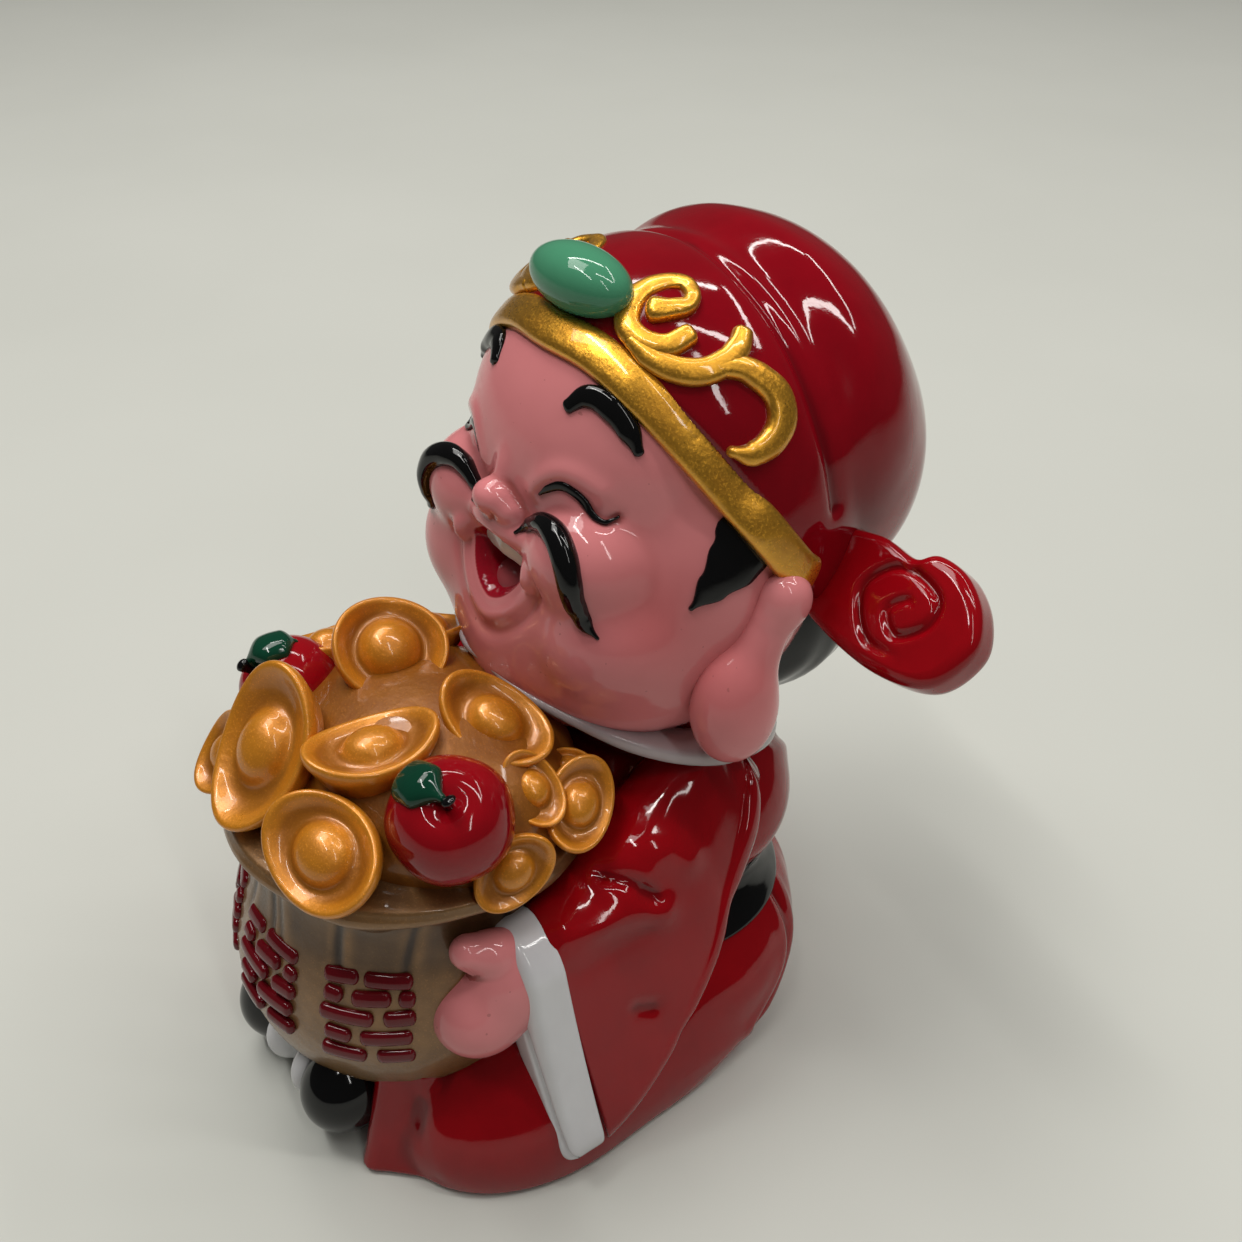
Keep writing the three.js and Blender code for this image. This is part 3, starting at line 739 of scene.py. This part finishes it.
# Path, widths and heights of each scroll
SCROLLS = [
    (HOOK, [4.4, 3.4, 2.8, 2.9, 3.2, 3.6, 3.9, 4.1, 4.2, 4.1, 3.9, 3.6],
     [1.9, 1.8, 1.5, 1.1, 0.8, 0.8, 1.1, 1.6, 1.8, 1.8, 1.8, 1.8]),
    (BRANCH, [2.6, 3.8, 4.2, 4.4, 4.4, 4.2, 3.4], 1.8),
    (LOOP, [3.2, 4.0, 4.6, 5.0, 5.0, 4.6, 4.0, 1.8], 1.8),
]
JEWEL_AT = (0, -25.6, 41.3)

dome = blown(HAT.field, *fan(280, 190, HAT.core))
creases = [(HAT.land(smooth(RIDGE, 40)), 0.45, 3.6), (HAT.land(smooth(VALLEY, 40)), -1.2, 1.7)]
piece("hat", [risen(dome, ridges(folded(dome), creases))], CRIMSON)

band_path = from_head([[-x, y, z] for x, y, z in BAND_SIDE[:0:-1]] + BAND_SIDE)
band_core = Air(from_head([0, 10, 6]), upward=1.0)
band = relief(band_core, band_path, 6.8, 2.1, sink=2.6, power=0.6, count=150, sides=28)
piece("band", [band], GOLD)

scrolls = []
for path, widths, heights in SCROLLS:
    scrolls += on_head(HAT, path, widths, heights, power=0.7, count=90)
piece("scrolls", scrolls, GOLD)

jewel = blown(head_egg(*JEWEL_AT, 10.4, 6.8, 5.4), *fan(120, 80, from_head(JEWEL_AT), axes=HEAD_AXES), 16)
piece("jewel", [jewel], JADE)

# Wings of the hat, given in their own plane: out from the head and up

WING_AT = np.array([45.2, 43.6, 104.4])
WING_LEAN = np.radians(48)
WING_THICKNESS = 8.5
WING_EDGE = 2.2
WING_MIDDLE = np.array([5.5, 0.0])
WING_OUTLINE = [[-14, 5], [-4.4, 8.9], [3.6, 8.6], [7.3, 11], [13.4, 10.3], [19, 6.2], [21.6, 0], [18, -7.9],
                [7.8, -10.7], [-6.4, -9], [-14, -5]]
WING_GROOVE = [[10, 1.2], [7.6, 2.1], [5.6, -1], [9.3, -3.6], [13.1, 0.4], [11.6, 5.2], [3.3, 6.4],
               [-0.9, 0.3], [4.6, -6.4], [12.8, -6.4]]


def wing():
    """Plate in its own plane: shares of the way from its middle to its outline, up its face, round the edge
    and back in behind. The face is cut by a spiral groove and swells between the turns."""
    face_rows, a = 50, np.linspace(0, np.pi / 2, 8)[1:]
    # Face, edge, side, edge and back: share of the way to the outline, how far beyond that, and how far down
    stretches = [(np.linspace(0, 1, face_rows) ** 0.9, 0.0, 0.0),
                 (1.0, WING_EDGE * np.sin(a), WING_EDGE * (1 - np.cos(a))),
                 (1.0, WING_EDGE, np.linspace(WING_EDGE, WING_THICKNESS - WING_EDGE, 8)[1:-1]),
                 (1.0, WING_EDGE * np.cos(a), WING_THICKNESS - WING_EDGE * (1 - np.sin(a))),
                 (np.linspace(1, 0, 12), 0.0, WING_THICKNESS)]
    share, beyond, down = np.hstack([np.broadcast_arrays(*stretch) for stretch in stretches])[..., None]
    outline = smooth(WING_OUTLINE, 160, closed=True) - WING_MIDDLE
    reach = np.linalg.norm(outline, axis=1)
    out = (reach - WING_EDGE) * share + beyond
    flat = WING_MIDDLE + out[..., None] * outline / reach[:, None]
    far, along = near(flat, smooth(WING_GROOVE, 120))
    groove = hump(far, 0, 0.8) * step(0, 0.08, along) * step(1, 0.85, along)
    swell = 0.9 * hump(np.linalg.norm(flat - [9, 0], axis=-1), 0, 7)
    on_face = np.arange(len(down))[:, None] < face_rows
    x, up, rise = flat[..., 0], flat[..., 1], on_face * (swell - groove) - down
    s, c = np.sin(WING_LEAN), np.cos(WING_LEAN)
    return WING_AT + np.stack([x, up * c - rise * s, up * s + rise * c], -1)


piece("wings", pair(wing()), RED)

# Robe

BELL = melt([egg((0, 28, 72), (27, 20, 10)), egg((0, 29.8, 46.2), (38.5, 28, 20)),
             egg((0, 21.1, 17.1), (48.1, 36.1, 22.4)), egg((0, 16.7, 6.5), (48.1, 36.9, 8.8))], 14)
KNEES = both(melt([egg((27.8, -13.4, 4), (21.8, 31.1, 23.5)), egg((33.7, 7.3, 5.9), (15.9, 22.5, 20))], 9))
TAILS = both(melt([flap((23.5, -48.4, 1), (21, -42, 20), (25.5, -37.5, 21.5), 2.6),
                   flap((23.5, -48.4, 1), (25.5, -37.5, 21.5), (34, -38.5, 1), 2.6)], 1.5))
WAIST_Z, BELT_Z = 32.0, 31.8
SEAT = np.array([0, 12.0, 0])
FRONT_CREASE = [[24.5, -38.6, 23.5], [26.5, -40, 20], [30, -41.5, 12], [34.5, -41, 3]]
BACK_FOLDS = [[[31, 50, 62], [22, 55, 51], [14, 57, 41]], [[10, 56, 66], [7, 57, 54], [8, 57, 43]],
              [[22, 57, 26], [27, 54, 15], [35, 46, 5]], [[6, 58, 27], [8, 57, 15], [12, 53, 5]],
              [[40, 40, 26], [44, 36, 15], [49, 26, 6]]]


def robe(p):
    """Bell of the body, drawn in at the waist, with the knees and the skirt's tails pushed out in front."""
    waist = 0.7 * hump(p[..., 2], WAIST_Z, 4.5)
    return blend(blend(BELL(p) + waist, KNEES(p), 6), TAILS(p), 1.2)


def gown(hem=1.5):
    """The robe from rays about an axis, drawn in a little below the height hem and closed flat on the ground.
    The front crease and the soft folds of the back are pressed in, each fold with a ridge beside it."""
    form = Form(robe, (0, 22, 36))
    grid = blown(robe, *fan(360, 156, SEAT, (0, 26, 50), 0.0, 0.3))[1:]
    low = np.clip(1 - grid[..., 2:] / hem, 0, 1)
    grid = grid - unit((grid - SEAT) * [1, 1, 0]) * 1.2 * low ** 2
    grid[..., 2] = np.maximum(grid[..., 2], 0)
    foot = grid[0] * [1, 1, 0]
    grid = np.concatenate([[SEAT + (foot - SEAT) * share for share in (0, 0.9, 0.985)], grid])
    side = folded(grid)
    rise = ridges(side, [(smooth(FRONT_CREASE, 20), -0.9, 1.6)])
    for fold in BACK_FOLDS:
        far, _ = near(side, form.land(smooth(fold, 16)))
        rise += 0.45 * hump(far, 3.2, 2.0) - 0.8 * hump(far, 0, 1.5)
    return risen(grid, rise * step(1.0, 4.0, grid[..., 2]))


piece("robe", [gown()], RED)

turn = np.linspace(0, 2 * np.pi, 28, endpoint=False)
belt_path = np.stack([40 * np.sin(turn), 29 - 30 * np.cos(turn), BELT_Z + 0 * turn], -1)
belt = relief(Form(BELL, (0, 26, 33)), belt_path, 10.4, 0.5, sink=2.0, power=0.5, count=180, closed=True)
piece("belt", [belt], BLACK, hoop=True)

COLLAR_SIDE = [[0, -2.2, 83.2], [8.1, -1.2, 81.6], [14.7, 1.6, 80], [21.4, 5.1, 78.2], [27, 9.9, 75.8],
               [31.8, 17, 72.8], [34, 26, 70], [31, 38, 66.5], [19, 46.5, 64.5], [0, 49, 64]]
COLLAR_WIDTHS = [1.6, 2.0, 3.0, 3.8, 4.4, 4.4, 4.4, 4.4, 3.8, 3.0, 2.0, 1.6]
COLLAR_HEIGHTS = [0.8, 1.0, 1.5, 1.9, 1.9, 1.9, 1.9, 1.9, 1.9, 1.5, 1.0, 0.8]
collar_path = COLLAR_SIDE + [[-x, y, z] for x, y, z in COLLAR_SIDE[-2:0:-1]]
collar = relief(Air((0, 25, 75), 0.25), collar_path, COLLAR_WIDTHS, COLLAR_HEIGHTS, sink=8, power=0.75,
                count=190, closed=True)
piece("collar", [collar], COLLAR_WHITE_SHADED, hoop=True)

# Sleeves

# A section is two half rounds, one over the arm and one along the hem, joined by straight sides. Each point
# of the arm and of the hem is a place and a radius.
ARM = [[14, 34, 58, 12], [26, 28, 60, 13], [30.5, 10, 54.5, 11.3], [32.3, -4, 49.3, 9.6],
       [32.6, -14, 46, 8.4], [32.3, -21, 45.0, 8.2]]
HEM = [[28, 34, 60, 6], [37, 28, 57, 5], [42, 19, 47, 4.6], [44.5, 13, 38, 4.6], [46.4, 2.8, 25.5, 4.6],
       [46.8, -6.8, 15, 4.6], [45.8, -14.5, 9.2, 4.8], [45, -21, 10.4, 5]]
# Path, height and width of each fold: those with a height below 0 are pressed in
SLEEVE_FOLDS = [
    ([[35.2, -3.6, 59.1], [38.9, 0, 57.8], [42, 2.8, 54.7]], -1.5, 1.5),
    ([[39.7, -16.7, 49.8], [41.5, -13.9, 46.5], [42.6, -9.4, 47.5], [44, 0.6, 49.5]], -0.35, 2.0),
    ([[47.6, -4.4, 34.5], [47.8, -3.2, 34], [48, -2, 33.5]], -1.0, 2.0),
    ([[38, -10, 40], [46, -4, 30], [50, 6, 24]], -0.5, 2.8),
    ([[38, 14, 66], [43, 16, 56], [45, 18, 44]], -0.5, 2.6),
    ([[37.9, -13.3, 53.5], [40.4, -8.6, 53.9], [41.8, -1.2, 53.4], [42.6, 4, 51]], 1.1, 2.6),
    ([[36, 2, 63], [38.6, 7, 61.8], [41, 11, 58]], 1.0, 3.2),
]
SLEEVE_STEPS = 130
CLOTH_STEPS = 118
CUFF_RADIUS = 8.0


def sleeve_section(arm, hem, up, out, swell, size=1.0, grow=0.0, sides=120):
    """Each section: down the outer side, round the hem, up the inner side and over the arm. Its sides swell
    between the two. size is a share of its breadth, and grow is added to that."""
    v = np.linspace(0, 4, sides, endpoint=False)
    part, u = v.astype(int), v - v.astype(int)
    quarters = [part == 0, part == 1, part == 2]
    angle = np.select(quarters, [0 * u, -np.pi * u, np.pi + 0 * u], np.pi * (1 - u))[None, :, None]
    share = np.select(quarters, [1 - u, 0 * u, u], 1 + 0 * u)[None, :, None]
    mixed = hem[:, None] + (arm - hem)[:, None] * share
    radius = size * (mixed[..., 3:] + swell * 4 * share * (1 - share)) + grow
    return mixed[..., :3] + radius * (out[:, None] * np.cos(angle) + up[:, None] * np.sin(angle))


def sleeve(arm, hem, up, out):
    """The sections from the shoulder on, as far as the cuff hides them, folded and closed at both ends."""
    swell = np.linspace(1.8, -0.6, SLEEVE_STEPS)[:, None, None]
    cloth = sleeve_section(arm, hem, up, out, swell, sides=130)[:CLOTH_STEPS]
    cloth = risen(cloth, ridges(cloth, [(smooth(path, 16), tall, wide) for path, tall, wide in SLEEVE_FOLDS]))
    return closed_ends(cloth)


def cuff(arm, hem, up, out):
    """Band round the sleeve's mouth: out over its edge, along the cloth, and over a rounded front that has a
    slit down its middle. Each row is the sleeve's last section at a share of its size, moved ahead."""
    arm, hem, up, out = (part[-1:] for part in (arm, hem, up, out))
    ahead = unit(np.cross(up, out))
    ahead = ahead * -np.sign(ahead[:, 1:2])
    t = np.linspace(0, 0.96, 36) * np.pi / 2
    size = np.concatenate([[0.1, 0.9, 1, 1, 1], np.cos(t) ** 0.7])
    grow = np.concatenate([[0, 0, 0.5, 0.8, 0.8], 0.8 * np.cos(t) ** 0.7])
    moved = np.concatenate([[-5.3, -5.5, -5.7, -5.3, -3], 3.2 * np.sin(t) ** 0.7 - 0.8])
    # The size is taken as that of a section of CUFF_RADIUS, in millimetres, so that the rows stand evenly
    profile = smooth(np.stack([CUFF_RADIUS * size, grow, moved], -1), 60)[..., None, None]
    size, grow, moved = profile[:, 0] / CUFF_RADIUS, profile[:, 1], profile[:, 2]
    grid = sleeve_section(arm, hem, up, out, -0.6, size, grow) + ahead * moved
    across = np.eye(3) - ahead.T @ ahead
    slit = np.vstack([hem[:, :3] - 9 * up + 4.4 * out, hem[:, :3] + 4 * up + 3.4 * out,
                      arm[:, :3] - 2 * up + 2.8 * out])
    far, _ = near(grid @ across, slit @ across)
    grid = grid - ahead * (1.4 * hump(far, 0, 0.7) * step(-0.4, 0.6, moved[..., 0]))[..., None]
    return closed_ends(grid)


def closed_ends(grid):
    """A grid with a row at each end that is all one point."""
    first, last = grid[:1].mean(1, keepdims=True), grid[-1:].mean(1, keepdims=True)
    return np.concatenate([first + 0 * grid[:1], grid, last + 0 * grid[:1]])


arm, hem = smooth(ARM, SLEEVE_STEPS), smooth(HEM, SLEEVE_STEPS)
up = unit(arm[:, :3] - hem[:, :3])
out = unit(np.cross(np.gradient((arm[:, :3] + hem[:, :3]) / 2, axis=0), up))
out = out * np.sign(out[:, :1])
piece("sleeves", pair(sleeve(arm, hem, up, out)), RED)
piece("cuffs", pair(cuff(arm, hem, up, out)), WHITE)

# Hands

PALM = melt([egg((33, -21.5, 43), (7.2, 8.5, 9.4)), egg((31, -27.4, 37.4), (8.2, 9, 8.6))], 5)
THUMB = melt([rod((32.5, -19, 48.5), (32, -24.5, 51.3), 4.2, 3.8),
              rod((32, -24.5, 51.3), (30.4, -28.6, 53), 3.8, 3.1)], 2)
hands = pair(blown(melt([PALM, THUMB], 2.0), *fan(120, 90, (32, -24, 42)), reach=26))
piece("hands", hands, FLESH, flesh_marks([0 * hand[..., 0] for hand in hands]))

# Feet: black shoes with thick white soles that face each other

piece("shoes", pair(whole_egg(80, 56, (13, -47.6, 11.4), (8, 9, 9.4))), BLACK)
piece("soles", pair(whole_egg(80, 44, (5.2, -47.6, 10.2), (3.6, 7.8, 8.4))), WHITE)

# Sack

SACK_Y, SACK_LEAN = -26.0, 0.09
SACK_PROFILE = [[0, 8.8], [13, 8.8], [23, 12], [30, 20], [33, 31], [31.8, 43], [29.2, 50], [28.3, 54.2],
                [28.8, 57], [30.8, 59.2], [32.6, 60.6], [33.2, 62], [32.2, 63.5], [29.5, 64.2], [0, 64.4]]
SACK_SIDE = smooth(SACK_PROFILE[2:10], 60)
GATHERS = np.radians([-128, -98, -64, -44, -14, 3, 10, 37, 60, 92, 104, 140])
# Rows of short dashes in a patch: along and up at each dash's start and end
DASHES = [[-7.4, 8.2, -2.6, 8.6], [0.2, 8.4, 7.2, 8.0], [-7.0, 4.4, -5.2, 4.2], [-1.8, 4.2, 3.4, 4.5],
          [6.4, 4.4, 7.6, 4.2], [-7.6, 0.2, 0.4, 0.0], [3.8, 0.2, 7.6, 0.4], [-6.6, -4.0, -3.4, -4.2],
          [-0.2, -4.2, 7.0, -3.8], [-7.2, -8.2, -0.8, -8.4], [2.6, -8.2, 7.4, -8.0]]
PATCHES = np.radians([-35, 5, 45])
PATCH_Z, PATCH_RADIUS = 40.5, 32.0


def on_sack(turn, r, z):
    """Place at a turn from the front, a radius and a height: the sack leans back as it rises."""
    return np.stack([r * np.sin(turn), SACK_Y + SACK_LEAN * z - r * np.cos(turn), z], -1)


def sack_side(p):
    """Distance out from the turned profile of the sack's side."""
    r = np.interp(p[..., 2], SACK_SIDE[:, 1], SACK_SIDE[:, 0])
    return np.hypot(p[..., 0], p[..., 1] - SACK_Y - SACK_LEAN * p[..., 2]) - r


def sack_cloth(columns=320, rows=130):
    """Turned profile. The neck is gathered in creases that sway a little, and the lip waves, rises in front
    and sinks behind."""
    a = np.linspace(0, 2 * np.pi, columns, endpoint=False)[None]
    r, z = (column[:, None] + 0 * a for column in smooth(SACK_PROFILE, rows).T)
    neck = hump(z, 51.5, 6.0)
    for k, g in enumerate(GATHERS):
        off = np.angle(np.exp(1j * (a - g - 0.05 * np.sin(z / 5 + k)))) * 30
        r = r - neck * (0.38 + 0.2 * np.sin(3.1 * k)) * hump(off, 0, 0.7) + neck * 0.2 * hump(off, 1.8, 1.6)
    wave = np.sin(3 * a + 0.6) * 0.7 + np.sin(7 * a + 2) * 0.45 + np.sin(12 * a) * 0.2
    r = r + hump(z, 59.6, 3.4) * 0.6 * wave * (r > 20)
    z = z + hump(z, 58, 5) * 0.75 * np.sin(5 * a + 1.1) + hump(z, 56, 3) * 0.5 * np.sin(13 * a + 0.4)
    z = z + 4.4 * np.cos(a) * step(42, 58, z) * step(0, 25, r)
    r = r + 0.35 * np.sin(4 * a + z / 9) * step(12, 24, z) * step(46, 34, z)
    return on_sack(a, r, z)


def dash(patch, start, start_up, end, end_up):
    """One raised dash of a patch, carried along the sack's side."""
    along = np.array([start, (start + end) / 2, end]) / PATCH_RADIUS
    z = PATCH_Z + np.array([start_up, (start_up + end_up) / 2, end_up])
    path = on_sack(patch + along, PATCH_RADIUS, z)
    return relief(Form(sack_side, (0, -23, 34)), path, 3.1, 1.2, sink=0.8, power=0.7, sides=16, count=18)


sack = sack_cloth()
# The neck is marked deeper so that it darkens: painted shade under the ingots and in the gathers.
piece("sack", [sack], BRONZE, wash_and_shade=0.24 * hump(sack[..., 2], 53, 7))
piece("strokes", [dash(patch, *ends) for patch in PATCHES for ends in DASHES], STROKE_RED)

# Treasure

piece("heap", [whole_egg(120, 70, (0, -17, 66), (30, 26.5, 18), 40)], HEAP_GOLD_SHADED)

# Middle of each ingot, the longitude and latitude that it faces, its turn, and half its length and breadth.
# Its rim stands at RIM_SHARE of these halves.
INGOTS = [
    [-13, -15, 83.5, 80, 52, -23, 10.8, 10.2], [-8, -41, 78.5, 15, 44, 100, 15.3, 10],
    [7, -29.5, 81.5, -111, 86, -170, 12.2, 8.4], [11.5, -9, 80, 95, 62, -70, 11.4, 8],
    [15, -43.2, 73.3, 28, 52, -25, 12, 9.4], [23.5, -9.5, 74, 76, 50, -75, 7.4, 5.2],
    [27.5, -3, 69.5, 84, 48, 51, 9, 6.4], [31.2, -19, 67.5, 70, 28, 32, 8, 5.8],
    [-21, -44, 69.5, 5, 38, 85, 8.5, 6.5], [-28, -20, 77.5, -110, 70, -160, 8, 6.5],
    [-19, -3.5, 79, -150, 70, -160, 8, 6.5], [21, -0.5, 71.5, 74, 51, -15, 5, 4],
    [-31, -13, 68, -80, 30, 30, 9, 7], [-27.5, -2, 67, -95, 45, -50, 9, 6.5],
    [-33, -26, 64, -60, 20, 60, 7, 5.5],
]
INGOT_PROFILE = [[0, -0.75], [0.42, -0.75], [0.72, -0.5], [0.93, -0.12], [1.0, 0.04], [1.01, 0.15],
                 [0.99, 0.25], [0.94, 0.3], [0.87, 0.28], [0.79, 0.24], [0.71, 0.21], [0.64, 0.19],
                 [0.59, 0.21], [0.54, 0.28], [0.46, 0.4], [0.35, 0.5], [0.18, 0.57], [0, 0.59]]
RIM_SHARE = 0.95


def ingot(x, y, z, lon, lat, turn, a, b, columns=56, rows=48):
    """Boat ingot: a dished profile swept round an oval, with a boss in it. The rim rises with the square of
    the way along the boat, and the boss stays nearly round."""
    a, b = RIM_SHARE * a, RIM_SHARE * b
    lon, lat, turn = np.radians([lon, lat, turn])
    out = np.array([np.sin(lon) * np.cos(lat), -np.cos(lon) * np.cos(lat), np.sin(lat)])
    level = np.array([np.cos(lon), np.sin(lon), 0])
    steep = np.cross(out, level)
    along = np.cos(turn) * level + np.sin(turn) * steep
    aside = np.cos(turn) * steep - np.sin(turn) * level
    share, up = smooth(INGOT_PROFILE, rows).T[..., None]
    u = np.linspace(0, 2 * np.pi, columns, endpoint=False)[None]
    half_length = a - (a - b) * 0.55 * step(0.75, 0.5, share) * (up > -0.2)
    lengthwise, sideways = share * np.cos(u) * half_length, share * np.sin(u) * b
    height = up * b + 0.3 * b * (lengthwise / a) ** 2 * step(0.5, 1.0, share)
    return [x, y, z] + lengthwise[..., None] * along + sideways[..., None] * aside + height[..., None] * out


piece("ingots", [ingot(*numbers) for numbers in INGOTS], INGOT)

# Middle of each apple, its radius, the pole where its stem stands and the middle of its leaf
APPLES = [((24, -25.5, 77.5), 10.3, (28.3, -28, 86.3), (20.9, -29.7, 86.1)),
          ((-25.5, -29.5, 75), 9, (-27.8, -35.9, 80.9), (-26.5, -30, 83.9))]


def apple(middle, radius, pole, columns=96, rows=64):
    """Ball about an axis through pole, dimpled at the top, a little flatter below and lobed five ways."""
    axis = unit(pole - middle)
    across = unit(np.cross(axis, [0.3, 1, 0.2]))
    beside = np.cross(axis, across)
    t = np.linspace(0, np.pi, rows)[:, None, None]
    u = np.linspace(0, 2 * np.pi, columns, endpoint=False)[None, :, None]
    dimple = 0.2 * hump(t, 0, 0.36) + 0.04 * hump(t, np.pi, 0.5)
    r = radius * (1.02 - dimple + 0.012 * np.cos(5 * u) * np.sin(t) ** 2)
    return middle + r * (np.sin(t) * (np.cos(u) * across + np.sin(u) * beside) + np.cos(t) * axis)


def leaf(middle, radius, pole, leaf_at):
    """Blade that lies on the apple, from beside the stem over the leaf's middle to its tip."""
    ball = Form(egg(middle, (radius,) * 3), middle)
    start = pole + (leaf_at - pole) * 0.15
    path = [start, leaf_at, leaf_at + (leaf_at - start) * 0.75]
    return relief(ball, path, [1.5, 8.5, 8.2, 0.8], [1.0, 2.2, 2.0, 0.6], sink=1.5, sides=24, count=40)


def stem(middle, radius, pole):
    """Short stalk that stands in the dimple, bends a little and widens to its end."""
    axis = unit(pole - middle)
    base = middle + axis * radius * 0.7
    path = [base, base + axis * radius * 0.24, base + axis * radius * 0.42 + [0.5, 0, 0.3]]
    return relief(Air(base + [30, 0, 0]), path, [1.7, 1.9, 2.6], 1.0, power=1.0, sides=14, count=16)


apples, leaves, stems = [], [], []
for middle, radius, pole, leaf_at in APPLES:
    middle, pole, leaf_at = np.array([middle, pole, leaf_at], float)
    apples.append(apple(middle, radius, pole))
    leaves.append(leaf(middle, radius, pole, leaf_at))
    stems.append(stem(middle, radius, pole))
piece("apples", apples, APPLE_RED)
piece("leaves", leaves, LEAF)
piece("stems", stems, BLACK)


# Setting

def stand(name, data, at=(0, 0, 0), axes=np.eye(3)):
    """Object in the scene, at a place in metres. The rows of axes are its own axes in the world."""
    thing = bpy.data.objects.new(name, data)
    thing.matrix_world = Matrix([[*np.array(axes)[:, i], at[i]] for i in range(3)] + [[0, 0, 0, 1]])
    bpy.context.scene.collection.objects.link(thing)
    return thing


def lamp(name, at, size, watts):
    """Flat lamp of size metres by metres, aimed at the figure's middle."""
    light = bpy.data.lights.new(name, "AREA")
    light.shape, light.energy, light.color = "RECTANGLE", watts, (1, 0.98, 0.95)
    light.size, light.size_y = size
    back = unit(np.array(at) - [0, 0.02, 0.08])
    across = unit(np.cross([0, 0, 1.0], back))
    stand(name, light, at, (across, np.cross(back, across), back))


ground = bpy.data.meshes.new("floor")
ground.from_pydata([(-4, -4, 0), (4, -4, 0), (4, 4, 0), (-4, 4, 0)], [], [(0, 1, 2, 3)])
pale = Finish("pale floor", Roughness=0.75)
pale.feed("Base Color", pale.mix(pale.noise(6, 3), (0.60, 0.61, 0.565), (0.54, 0.55, 0.505)))
ground.materials.append(pale.material)
stand("floor", ground)

lamp("overhead", (-0.55, -0.15, 1.5), (0.8, 0.6), 9.5)
lamp("tube left", (-0.6, 0.45, 1.3), (1.0, 0.06), 4.5)
lamp("tube right", (0.35, 0.35, 1.3), (0.06, 0.8), 3.5)
lamp("tube front", (-0.1, -0.4, 1.4), (0.9, 0.06), 4.5)
lamp("tube behind", (0.15, 0.9, 1.25), (1.0, 0.06), 3.5)
lamp("tube far right", (0.9, -0.1, 1.2), (0.06, 0.9), 2.5)

world = bpy.data.worlds.new("room")
bpy.context.scene.world = world
world.use_nodes = True
room = world.node_tree.nodes["Background"].inputs
room["Color"].default_value = (0.62, 0.61, 0.58, 1)
room["Strength"].default_value = 0.1

# Camera: seen from the figure's left front, above, as in the photograph

AZIMUTH, ELEVATION = np.radians(52), np.radians(37.5)
AIM, DISTANCE = np.array([0, 28, 78]), 250.0
# Focal length as a share of the picture's width, and the sensor's width in millimetres
FOCAL_SHARE, SENSOR = 1300 / 1242, 36

right = np.array([np.cos(AZIMUTH), np.sin(AZIMUTH), 0])
back = np.array([np.sin(AZIMUTH), -np.cos(AZIMUTH), 0]) * np.cos(ELEVATION) + [0, 0, np.sin(ELEVATION)]
view = bpy.data.cameras.new("camera")
view.sensor_fit, view.sensor_width = "HORIZONTAL", SENSOR
view.lens, view.clip_start = FOCAL_SHARE * SENSOR, 0.01
axes = (right, np.cross(back, right), back)
bpy.context.scene.camera = stand("camera", view, (AIM + back * DISTANCE) * MM, axes)
bpy.context.scene.view_settings.view_transform = "Standard"
